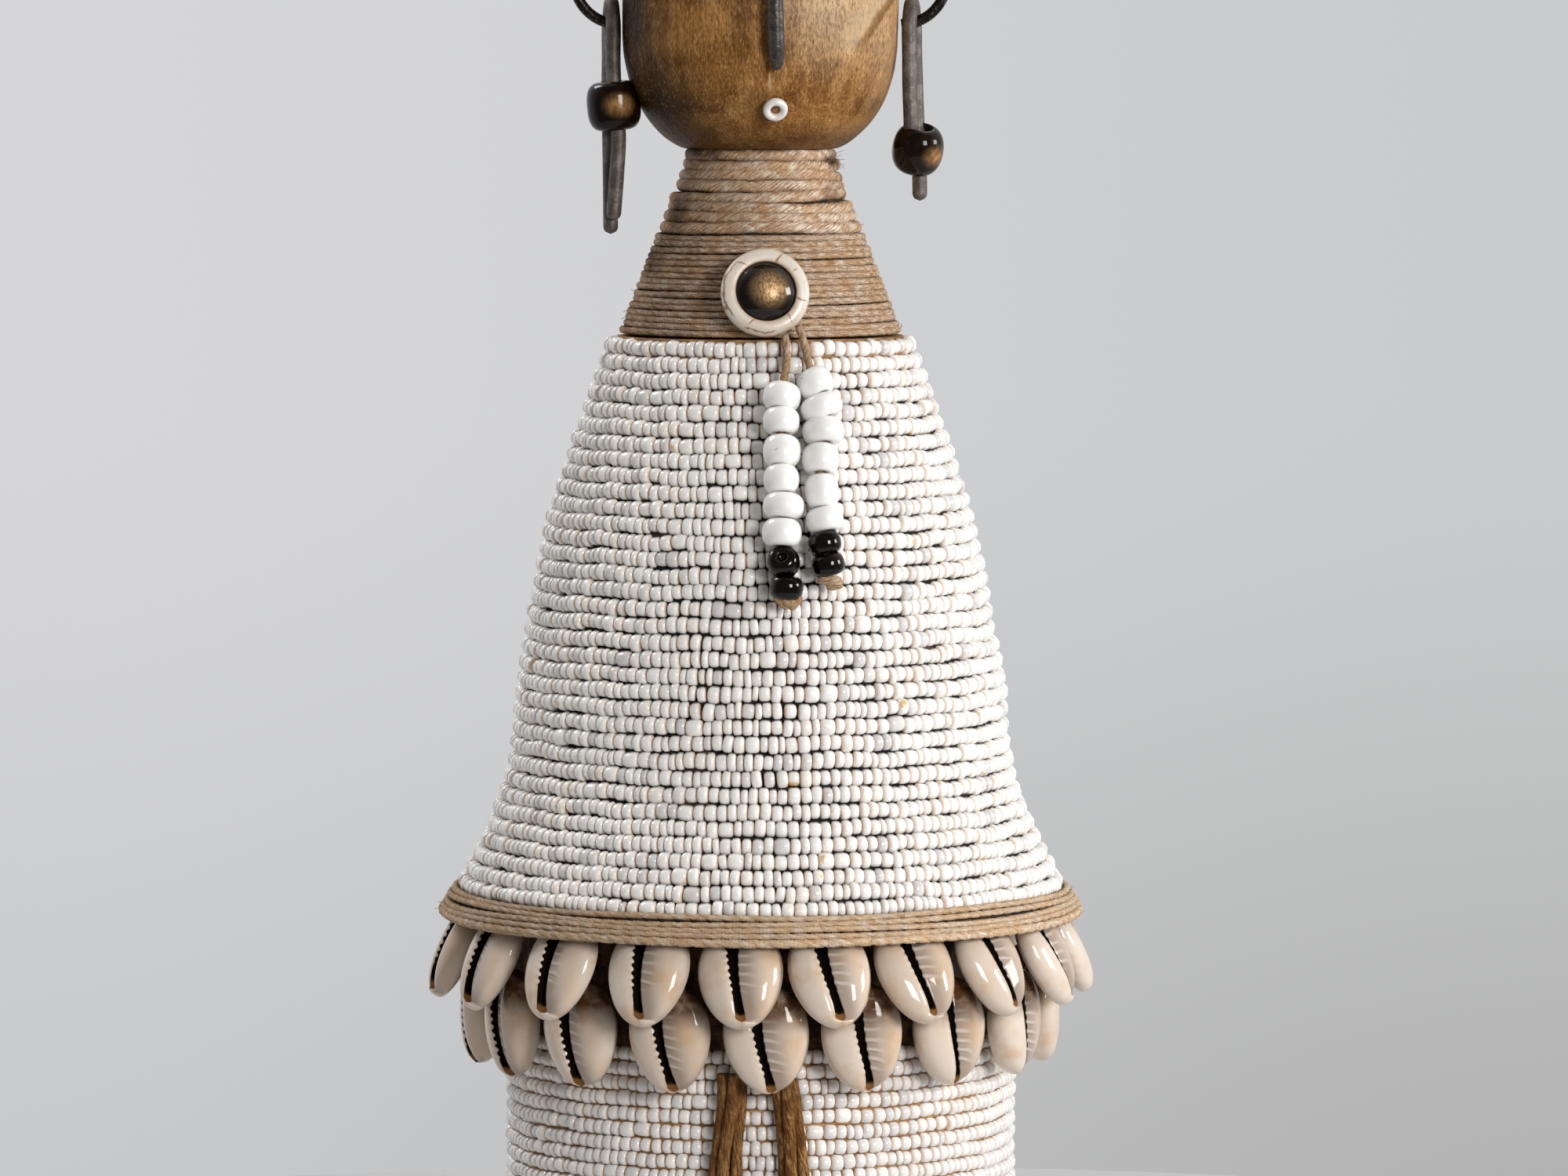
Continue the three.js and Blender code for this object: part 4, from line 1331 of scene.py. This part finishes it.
# Each row's count, radius and height, how far its shells lean out, their width and depths, and
# how far they lean to the side, with a part that grows to the doll's sides.
UPPER_ROW = {
    "count": UPPER_COUNT, "radius": 55.5, "height": 84.6, "tilt": 25, "width": 15, "front": 3.7,
    "back": 2.6, "sway": 7, "lean": 3,
}
LOWER_ROW = {
    "count": LOWER_COUNT, "radius": 51.7, "height": 73.1, "tilt": 0, "width": 15.4, "front": 3.6,
    "back": 4.4, "sway": 0, "lean": 4,
}
# How much painted shade browns the shells' tops, how far slits reach and where their teeth end.
UPPER_LOOK, LOWER_LOOK = (0.2, 1.0, -0.5), (1.0, 0.92, -0.75)


def shell_row(label, row, angle_at, look, seed):
    """One row of shells round the doll, each a piece of its own."""
    for index in range(row["count"]):
        dice = random.Random(seed + index)
        angle = angle_at(index)
        size = dice.uniform(0.97, 1.02)
        bm = cowrie(row["width"] * size, row["front"], row["back"], dice, *look)
        place = rotated(angle, "Z") @ Matrix.Translation((0, -row["radius"], row["height"]))
        lean = row["sway"] * math.sin(math.radians(angle)) + row["lean"]
        bm.transform(place @ rotated(90 - row["tilt"], "X") @ rotated(lean, "Z"))
        name = f"{label}_{index + 1:02d}"
        finish_piece(bm, f"shell_{name}", SHELL_FINISH, f"cowrie_{name}")


shell_row("upper", UPPER_ROW, upper_angle, UPPER_LOOK, seed=300)
shell_row("lower", LOWER_ROW, lower_angle, LOWER_LOOK, seed=400)

# %% [markdown]
# ## Head
# The head is carved from one piece of wood, an upright oval with a low crest from brow to
# nape. It is turned from its profile and the crest is then raised by moving the points of the
# dome. Carving is never quite round, so slow noise moves the surface a little. The wood is
# warm brown with a fine grain. Painted light makes the right cheek paler, and painted shade
# with some darker patina darkens the left side, the chin and the place beside the nose. A
# shallow groove runs down the right cheek, with painted shade on its wall and a painted
# highlight beside it.

# %% Head shape
HEAD_BOTTOM, HEAD_CHEEK, HEAD_TEMPLE, HEAD_TOP = 229.9, 256.8, 264.0, 289.5
HEAD_RADIUS, CHIN_RADIUS = 25.2, 13.6
CREST_FOOT, CREST_TOP, CREST_HALF, CREST_REACH = 272.0, 296.0, 5.0, 23.0
CHEEK_STEPS, CROWN_STEPS = 36, 32
# The face looks a little to the right, in degrees.
FACE_TURN = 5.7


def head_outline():
    outline = [(0, HEAD_BOTTOM)]
    for step in range(CHEEK_STEPS + 1):
        fall = math.cos(step / CHEEK_STEPS * math.pi / 2)
        height = HEAD_CHEEK - fall * (HEAD_CHEEK - HEAD_BOTTOM)
        swell = (HEAD_RADIUS - CHIN_RADIUS) * (1 - fall**3) ** 0.72
        outline.append((CHIN_RADIUS + swell, height))
    for step in range(CROWN_STEPS):
        turn = step / CROWN_STEPS * math.pi / 2
        height = HEAD_TEMPLE + (HEAD_TOP - HEAD_TEMPLE) * math.sin(turn) ** 0.9
        outline.append((HEAD_RADIUS * math.cos(turn) ** 0.75, height))
    outline.append((0, HEAD_TOP))
    return outline


def ease(value, low, high):
    share = min(max((value - low) / (high - low), 0), 1)
    return share * share * (3 - 2 * share)


# The groove down the right cheek: height and place to the right.
groove_place = smooth_curve([
    (240, 15.4), (245.9, 15.9), (248.3, 16.4), (250.1, 17.4), (252.5, 19.1), (254.6, 20.5),
    (256.7, 22.5), (262, 26),
])


def carve_head(bm):
    """Raises the crest, leaves the marks of carving and notes how far the cheek's groove is."""
    groove = bm.verts.layers.float.new("groove")
    turn = rotated(-FACE_TURN, "Z").to_3x3()
    back = turn.inverted()
    for vert in bm.verts:
        here = turn @ vert.co
        x, y, z = here
        rise = ease(abs(x), CREST_HALF + 1.2, CREST_HALF - 1.0)
        reach = math.hypot(y / CREST_REACH, (z - CREST_FOOT) / (CREST_TOP - CREST_FOOT))
        if rise > 0 and z > CREST_FOOT and 0 < reach < 1:
            grow = 1 + rise * (1 / reach - 1)
            here = Vector((x, y * grow, CREST_FOOT + (z - CREST_FOOT) * grow))
        vert[groove] = x - float(groove_place(z)) if y < 0 else -9.0
        slow = noise.noise(here / 9) * 0.22 + noise.noise(here / 3.1) * 0.06
        level = Vector((here.x, here.y, 0))
        if level.length > 1:
            here += level.normalized() * slow
        vert.co = back @ here


# %% Head finish
# Places on the wood by their middles, half sizes and strength: painted light, mostly on the
# right cheek; painted shade with darker patina on the left and at the chin, and painted shadow
# beside the nose; and small marks on the face.
HEAD_PAINTED_LIGHT = [
    ((12, -20, 262), (16, 18, 24), 0.58), ((-9, -22, 260), (6, 8, 5), 0.4),
    ((23, -10, 250), (8, 16, 20), 0.25),
]
HEAD_SHADE_AND_PATINA = [
    ((-21, -15, 236.5), (19, 22, 15), 1.0), ((-26, -8, 255), (17, 21, 28), 1.0),
    ((21, -16, 236), (8, 14, 8), 0.4), ((-3.5, -26, 254), (3.4, 6, 14), 0.5),
]
MOUTH_SHADE = [((0.3, -22.4, 237.3), (4.2, 5, 4.2), 0.4)]
NICKS = [((-17.2, -17.8, 258), (0.55, 3, 0.75), 1.0), ((-3.2, -24.6, 239.8), (0.6, 2, 0.9), 1.0)]
SCRATCH = [((1.7, -24.5, 241.8), (0.42, 3, 2.6), 0.75)]


def make_head_finish():
    wood = Finish("head_wood", 0.36, ior=1.2)

    def lay_spots(spots, core, colour):
        for centre, size, share in spots:
            wood.lay(wood.spot(centre, size, core), colour, share)

    height = wood.parts(wood.place)["Z"]
    grain = wood.cloud((3200, 3200, 1100), detail=2.0, roughness=0.6)
    dents = wood.cloud((1500, 1500, 480), detail=2.0)
    strokes = wood.cloud((330, 330, 80), detail=2.0)
    wood.start(wood.ranged(wood.cloud((50, 50, 210)), 0.35, 0.65), (120, 78, 34), (166, 118, 64))
    wood.lay(wood.ranged(strokes, 0.45, 0.65, 0.0, 0.45), (196, 148, 92))
    # Painted light, mostly on the right cheek, which faces the light.
    lay_spots(HEAD_PAINTED_LIGHT, 0.05, (238, 210, 174))
    # Painted shade with darker patina on the left and at the chin, and painted shadow by the nose.
    lay_spots(HEAD_SHADE_AND_PATINA, 0.1, (26, 14, 6))
    wood.lay(wood.ranged(grain, 0.55, 0.35, 0.0, 0.5), (66, 38, 14))
    wood.lay(wood.ranged(grain, 0.56, 0.75, 0.0, 0.4), (222, 184, 134))
    wood.lay(wood.ranged(dents, 0.42, 0.3, 0.0, 0.4), (92, 56, 24))
    # Painted shade towards the underside of the chin.
    wood.lay(wood.ranged(height, 0.2365, 0.2305, 0.0, 0.55), (58, 34, 14))
    lay_spots(MOUTH_SHADE, 0.45, (92, 56, 26))
    lay_spots(NICKS, 0.3, (30, 18, 10))
    lay_spots(SCRATCH, 0.2, (206, 176, 140))
    aside = wood.attribute("groove")
    fading = wood.ranged(height, 0.2445, 0.252)
    # Painted shade on the wall of the cheek's groove, and a painted highlight on the rise beside
    # it.
    wall = wood.times(wood.ranged(aside, -1.3, -0.1), wood.ranged(aside, 1.5, 0.2), fading)
    wood.lay(wall, (110, 70, 30), 0.6)
    crest = wood.times(wood.ranged(aside, -7.0, -2.0), wood.ranged(aside, -0.4, -1.6), fading)
    wood.lay(crest, (240, 216, 184), 0.34)
    step = wood.math("SUBTRACT", wood.ranged(aside, 0.0, 1.4), wood.ranged(aside, -4.5, 0.0))
    carved = wood.math("MULTIPLY", wood.math("MULTIPLY", step, fading), 2.4)
    for pattern, share in ((dents, 0.6), (strokes, 0.9), (grain, 0.12)):
        carved = wood.math("ADD", carved, wood.times(pattern, share))
    return wood.done(carved, 0.0006, 0.9, roughness=wood.ranged(grain, 0.3, 0.7, 0.34, 0.55))


HEAD_WOOD = make_head_finish()
head_bm = turned(head_outline(), sides=144)
carve_head(head_bm)
finish_piece(head_bm, "carved_head", HEAD_WOOD, "head")

# %% [markdown]
# ## Face
# A bar of dark steel stands for the nose. A flat ring bead is the mouth, and two more are the
# eyes. The beads are set in brown glue that shows in their holes.

# %% Steel
def make_steel(name, dark, light, metal, roughness):
    steel = Finish(name, roughness, metallic=metal)
    steel.start(steel.grime(420, 0.42, 0.66), dark, light)
    steel.lay(steel.ranged(steel.cloud(2400, detail=1.0), 0.6, 0.72), (160, 154, 148), 0.35)
    return steel.done(steel.cloud(900), 0.0002, 0.5)


NOSE_STEEL = make_steel("nose_steel", (60, 54, 51), (82, 76, 73), 0.35, 0.34)
LINK_STEEL = make_steel("link_steel", (82, 73, 66), (112, 104, 97), 0.25, 0.5)
HOOP_STEEL = make_steel("hoop_steel", (24, 18, 15), (44, 34, 29), 0.7, 0.35)

# %% Nose and face beads
NOSE_WIRE = 1.52
ON_HEAD = HEAD_RADIUS + 0.3
NOSE_STAND = ON_HEAD + 1.5
FACE = rotated(FACE_TURN, "Z")


def make_nose():
    route = [
        (0.5, 0.9 - NOSE_STAND, 244.1), (0.1, -NOSE_STAND, 252.4),
        (-0.1, -NOSE_STAND, 266), (0, 0.6 - NOSE_STAND, 272),
    ]
    path = smooth_path(route, step=0.3)
    narrowing = np.interp(lengths_along(path), (0, 4), (0.66, 1))
    bm = strand(path, round_ends(path, NOSE_WIRE) * narrowing, sides=24, out=(1, 0, 0))
    bm.transform(FACE)
    finish_piece(bm, "nose", NOSE_STEEL, "nose_bar")


def make_face_finishes():
    white = Finish("face_bead", 0.25, coat_weight=0.2, coat_roughness=0.1)
    white.start(white.grime(600), (236, 234, 230), (224, 219, 212))
    glue = Finish("brown_glue", 0.4)
    glue.start(glue.grime(900), (112, 72, 38), (158, 112, 66))
    return [white.done(), glue.done()]


FACE_FINISHES = make_face_finishes()


def make_face_bead(name, aside, radius, height, slope):
    """A ring bead on the face with glue in its hole."""
    ring, hole, thick = 2.25, 0.85, 1.6
    tube = (ring - hole) / 2
    bm = turned([
        (ring - tube + tube * math.cos(turn), thick / 2 + thick / 2 * math.sin(turn))
        for turn in (step / 16 * 2 * math.pi for step in range(17))
    ], sides=32)
    plug = turned([(0, 0.05), (hole + 0.3, 0.05), (hole + 0.2, 0.85), (0, 0.7)], sides=24)
    for face in plug.faces:
        face.material_index = 1
    pour(bm, plug)
    place = FACE @ rotated(aside, "Z") @ Matrix.Translation((0, -radius, height))
    bm.transform(place @ rotated(90 + slope, "X"))
    finish_piece(bm, f"{name}_ring", FACE_FINISHES, name)


make_nose()
make_face_bead("mouth_bead", 1, 22.9, 237.5, 28)
make_face_bead("eye_bead_left", -22, ON_HEAD, 263, 0)
make_face_bead("eye_bead_right", 22, ON_HEAD, 263, 0)

# %% [markdown]
# ## Ear ornaments
# A half hoop of dark wire stands on each side of the head. A hairpin of thicker wire hangs on
# it, and both of its legs run down through a dark turned bead and end in blunt tips.

# %% Ear ornaments
HOOP_HEIGHT, HOOP_CENTRE, HOOP_RADIUS, HOOP_WIRE = 260.7, 25.6, 8.3, 1.0
LINK_WIRE, LINK_BEND, LINK_TOP_HEIGHT = 1.36, 3.2, 253.0
# For each ear the bead's middle, shape and lean, the bend's places to the right, and the places
# of the hairpin's front and rear leg from the bead's foot up to its bend.
EARS = {
    "left": {
        "bead": (-26.6, -4.0, 237.7), "shape": (4.9, 4.45, 2.7), "lean": (3, -5),
        "bend": (-26.7, -27.5),
        "front": [
            (-26.7, -4.9, 216.9), (-26.0, -5.1, 226), (-25.7, -5.1, 232), (-26.4, -5.1, 239),
            (-26.7, -4.0, 246),
        ],
        "rear": [
            (-27.2, -3.1, 214.4), (-27.3, -2.9, 226), (-27.4, -2.8, 232), (-27.5, -2.7, 239),
            (-27.5, -0.2, 246),
        ],
    },
    "right": {
        "bead": (28.6, -2.4, 229.8), "shape": (4.7, 4.35, 2.1), "lean": (20, 10),
        "bend": (27.05, 28.0),
        "front": [(27.4, -3.6, 230.4), (27.3, -4.4, 235), (27.1, -4.2, 241), (27.05, -3.8, 247)],
        "rear": [
            (29.0, -1.6, 220.4), (28.9, -1.5, 226), (28.6, -1.2, 232), (28.3, -0.2, 240),
            (28.1, 1.6, 247),
        ],
    },
}
EAR_BEAD_BORE = 2.1
# Rubbed places on the two beads, painted lighter as a warm sheen: middle and half sizes.
EAR_WEAR_AND_SHEEN = [((-25.2, -9.4, 237.8), (4.4, 4, 3.0)), ((32.0, -5.4, 228.4), (3.6, 4, 2.6))]


def make_dark_wood():
    wood = Finish(
        "dark_bead_wood", 0.16, coat_weight=0.5, coat_roughness=0.05, coat_ior=1.35, ior=1.2
    )
    streaks = wood.cloud((1500, 1500, 700))
    streaky = wood.ranged(streaks, 0.3, 0.65, 0.45, 1.0)
    wood.start(wood.grime(300), (12, 6, 3), (28, 15, 8))
    # Painted sheen: streaky golden brown on the rubbed places, on the sides towards the light.
    for centre, size in EAR_WEAR_AND_SHEEN:
        wood.lay(wood.times(wood.spot(centre, size, 0.0), streaky), (176, 132, 84))
    gloss = wood.ranged(streaks, 0.4, 0.7, 0.1, 0.28)
    return wood.done(wood.cloud(240, detail=2.0), 0.0004, 0.4, roughness=gloss)


DARK_WOOD = make_dark_wood()


def ear_bead(radius, half, rounding):
    """A rounded bead with a wide hole, its axis along Z."""
    outline = rounded_side(EAR_BEAD_BORE, radius, half, rounding, 1 / rounding, steps=20)
    return turned([*outline, outline[0]], sides=48)


def make_hoop(label, side):
    hoop = []
    for step in range(11):
        turn = (step / 10 - 0.5) * math.pi
        reach = HOOP_CENTRE + HOOP_RADIUS * math.cos(turn)
        hoop.append((side * reach, 0, HOOP_HEIGHT + HOOP_RADIUS * math.sin(turn)))
    bm = strand(smooth_path(hoop, step=0.5), HOOP_WIRE, sides=14, out=(0, 1, 0))
    finish_piece(bm, f"hoop_{label}", HOOP_STEEL, f"ear_hoop_{label}")


def make_hairpin(label, front, rear, bend_front, bend_rear):
    bend = []
    for step in range(9):
        turn = step / 8 * math.pi
        x = bend_front + (bend_rear - bend_front) * step / 8
        bend.append((x, -LINK_BEND * math.cos(turn), LINK_TOP_HEIGHT + LINK_BEND * math.sin(turn)))
    path = smooth_path([*front, *bend, *reversed(rear)], step=0.4)
    bm = strand(path, round_ends(path, LINK_WIRE), sides=18, out=(1, 0.05, 0))
    finish_piece(bm, f"hairpin_{label}", LINK_STEEL, f"ear_link_{label}")


def make_ear(label, ear):
    make_hoop(label, math.copysign(1, ear["bead"][0]))
    make_hairpin(label, ear["front"], ear["rear"], *ear["bend"])
    bm = ear_bead(*ear["shape"])
    tip, roll = ear["lean"]
    turn = rotated(roll, "Y") @ rotated(tip, "X")
    bm.transform(Matrix.Translation(ear["bead"]) @ turn)
    finish_piece(bm, f"ear_barrel_{label}", DARK_WOOD, f"ear_bead_{label}")


for ear_label, ear_values in EARS.items():
    make_ear(ear_label, ear_values)

# %% [markdown]
# ## Pendant
# A ring of bone with a domed bronze stud in it lies on the neck. The bone has hairline cracks
# that brown dirt fills. The stud is nearly black and rubbed to brass in its middle.

# %% Pendant
RING_RADIUS, RING_HOLE, RING_THICKNESS = 8.0, 5.45, 3.5
# The stud's dome: its foot, its height and the turn of its arc.
STUD_FOOT, STUD_HEIGHT, STUD_TURN = 1.35, 2.55, math.radians(51)
PENDANT_CENTRE = (0.9, -26.2, 204.4)
# It leans back with the neck and faces a little to the right, in degrees.
LEANS_BACK, FACES_RIGHT = 14, 7
PENDANT = Matrix.Translation(PENDANT_CENTRE)
PENDANT = PENDANT @ rotated(90 - LEANS_BACK, "X") @ rotated(FACES_RIGHT, "Y")
# The ends of each crack as radius and angle from the right, turning up, and its width.
CRACKS = [
    ((7.7, 136), (5.5, 125), 0.24), ((5.4, 72), (7.8, 65), 0.22), ((5.4, 72), (6.5, 69), 0.4),
    ((6, 38), (7.2, 36), 0.18), ((5.2, -10.5), (8, -12), 0.22), ((5, -43), (7.6, -51), 0.24),
    ((5, -104), (7.3, -119), 0.24),
]
# Cracks along the rim: the middle of each and its half sizes, across and up.
RIM_CRACKS = [((-8, 0.8), (5, 7.2)), ((-1.2, -7.6), (3.2, 2.2))]
RIM_DISTANCE = 7.72


def on_ring(x, y):
    return PENDANT @ Vector((x, y, RING_THICKNESS / 2))


def crack(bone, shaky, start, end, width):
    """A thin line on the ring's face between two places."""
    turned_ends = [(radius, math.radians(angle)) for radius, angle in (start, end)]
    (x, y), (far_x, far_y) = [(r * math.cos(a), r * math.sin(a)) for r, a in turned_ends]
    aim = bone.vector("SUBTRACT", shaky, on_ring((x + far_x) / 2, (y + far_y) / 2) * MM)
    values = {"Vector": aim, "Rotation": (0, math.atan2(far_y - y, far_x - x), 0)}
    lined = bone.put("ShaderNodeMapping", values, vector_type="POINT").outputs["Vector"]
    half_length = math.hypot(far_x - x, far_y - y) * 0.58
    return bone.spot((0, 0, 0), (half_length, 3.0, width), 0.35, place=lined)


def make_bone():
    bone = Finish("bone", 0.33, coat_weight=0.15, coat_roughness=0.15)
    values = {"Vector": bone.place, "Scale": 420.0, "Detail": 2.0}
    shaken = bone.put("ShaderNodeTexNoise", values).outputs["Color"]
    moved = bone.vector("ADD", shaken, (-0.5, -0.5, -0.5))
    small = bone.put("ShaderNodeVectorMath", {0: moved, "Scale": 0.0012}, operation="SCALE")
    shaky = bone.vector("ADD", bone.place, small.outputs[0])
    off_middle = bone.vector("SUBTRACT", shaky, Vector(PENDANT_CENTRE) * MM)
    away = bone.vector("LENGTH", off_middle, result="Value")
    off_rim = bone.math("ABSOLUTE", bone.math("SUBTRACT", away, RIM_DISTANCE * MM))
    on_rim = bone.ranged(off_rim, 0.00016, 0.00004)
    lines = [crack(bone, shaky, *ends) for ends in CRACKS]
    for (x, y), (across, up) in RIM_CRACKS:
        lines.append(bone.times(on_rim, bone.spot(on_ring(x, y), (across, 6, up), 0.75)))
    bone.start(bone.grime(160, 0.35, 0.7), (226, 217, 206), (208, 194, 178))
    for line in lines:
        bone.lay(line, (142, 92, 48), 0.9)
    bone.lay(bone.ranged(away, 0.0066, 0.0057), (196, 158, 118), 0.6)
    return bone.done(bone.cloud(700, detail=2.0), 0.00012, 0.4)


def make_bronze():
    bronze = Finish(
        "bronze", 0.2, coat_weight=1.0, coat_roughness=0.03, coat_ior=1.4, ior=1.15
    )
    rubbed = bronze.spot(PENDANT @ Vector((0.5, 0.1, 4.0)), (4.8, 5.0, 4.5), 0.1)
    scratches = bronze.cloud((2600, 2600, 1500), roughness=0.75)
    worn = bronze.times(rubbed, bronze.ranged(scratches, 0.36, 0.6, 0.35, 1.0))
    bronze.start(bronze.grime(600), (8, 4, 2), (24, 14, 7))
    bronze.lay(worn, (206, 168, 122))
    return bronze.done(
        scratches, 0.00012, 0.4, roughness=bronze.ranged(worn, 0.0, 1.0, 0.2, 0.58),
        metallic=bronze.ranged(worn, 0.0, 1.0, 0.1, 0.75),
        coat_weight=bronze.ranged(worn, 0.0, 0.6, 1.0, 0.3),
    )


def make_pendant():
    half = RING_THICKNESS / 2
    hole, rim = RING_HOLE, RING_RADIUS
    ring = turned([
        (hole, -half), (rim - 0.7, -half), (rim - 0.15, -half + 0.5), (rim, 0.2), (rim - 0.1, 0.85),
        (rim - 0.42, 1.4), (rim - 1.0, half), (hole + 0.35, half), (hole + 0.06, half - 0.1),
        (hole, half - 0.3), (hole, -half),
    ], sides=96)
    ring.transform(PENDANT)
    finish_piece(ring, "bone_ring", make_bone(), "pendant_ring", sharp=60)
    radius = RING_HOLE - 0.05
    foot, height, cap = STUD_FOOT, STUD_HEIGHT, STUD_TURN
    dome = [(0, -1), (radius, -1), (radius, foot)]
    for step in range(1, 17):
        angle = cap * (1 - step / 16)
        rise = (math.cos(angle) - math.cos(cap)) / (1 - math.cos(cap))
        dome.append((radius * math.sin(angle) / math.sin(cap), foot + height * rise))
    stud = turned(dome, sides=64)
    stud.transform(PENDANT)
    finish_piece(stud, "bronze_stud", make_bronze(), "pendant_stud", sharp=60)


make_pendant()

# %% [markdown]
# ## Base
# The cylinder stands on a plain wooden disc with softened edges. The photograph doesn't reach
# it, so it is kept simple, in the brown of the head.

# %% Base
BASE_RADIUS, BASE_HEIGHT, BASE_EDGE = 46.0, 8.0, 1.0


def make_base_finish():
    wood = Finish("base_wood", 0.55)
    grain = wood.cloud((60, 900, 900), detail=4.0, roughness=0.6)
    wood.start(wood.ranged(grain, 0.35, 0.65), (92, 58, 31), (134, 92, 54))
    wood.lay(wood.grime(90, 0.5, 0.72), (62, 40, 22))
    return wood.done(grain, 0.0004, 0.5, roughness=wood.ranged(grain, 0.35, 0.65, 0.62, 0.45))


def make_base():
    bm = bmesh.new()
    bmesh.ops.create_cone(
        bm, cap_ends=True, segments=96, radius1=BASE_RADIUS, radius2=BASE_RADIUS, depth=BASE_HEIGHT,
        matrix=Matrix.Translation((0, 0, BASE_HEIGHT / 2)),
    )
    rims = [e for e in bm.edges if len({round(v.co.z, 3) for v in e.verts}) == 1]
    bmesh.ops.bevel(
        bm, geom=rims, offset=BASE_EDGE, segments=4, profile=0.5, affect="EDGES", material=-1
    )
    finish_piece(bm, "base_disc", make_base_finish(), "base", sharp=35)


make_base()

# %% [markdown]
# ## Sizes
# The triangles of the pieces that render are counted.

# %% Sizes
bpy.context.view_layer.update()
total = 0
for piece in bpy.data.objects:
    if piece.type == "MESH" and not piece.hide_render:
        total += sum(len(face.vertices) - 2 for face in piece.data.polygons)
print("triangles in all:", total)
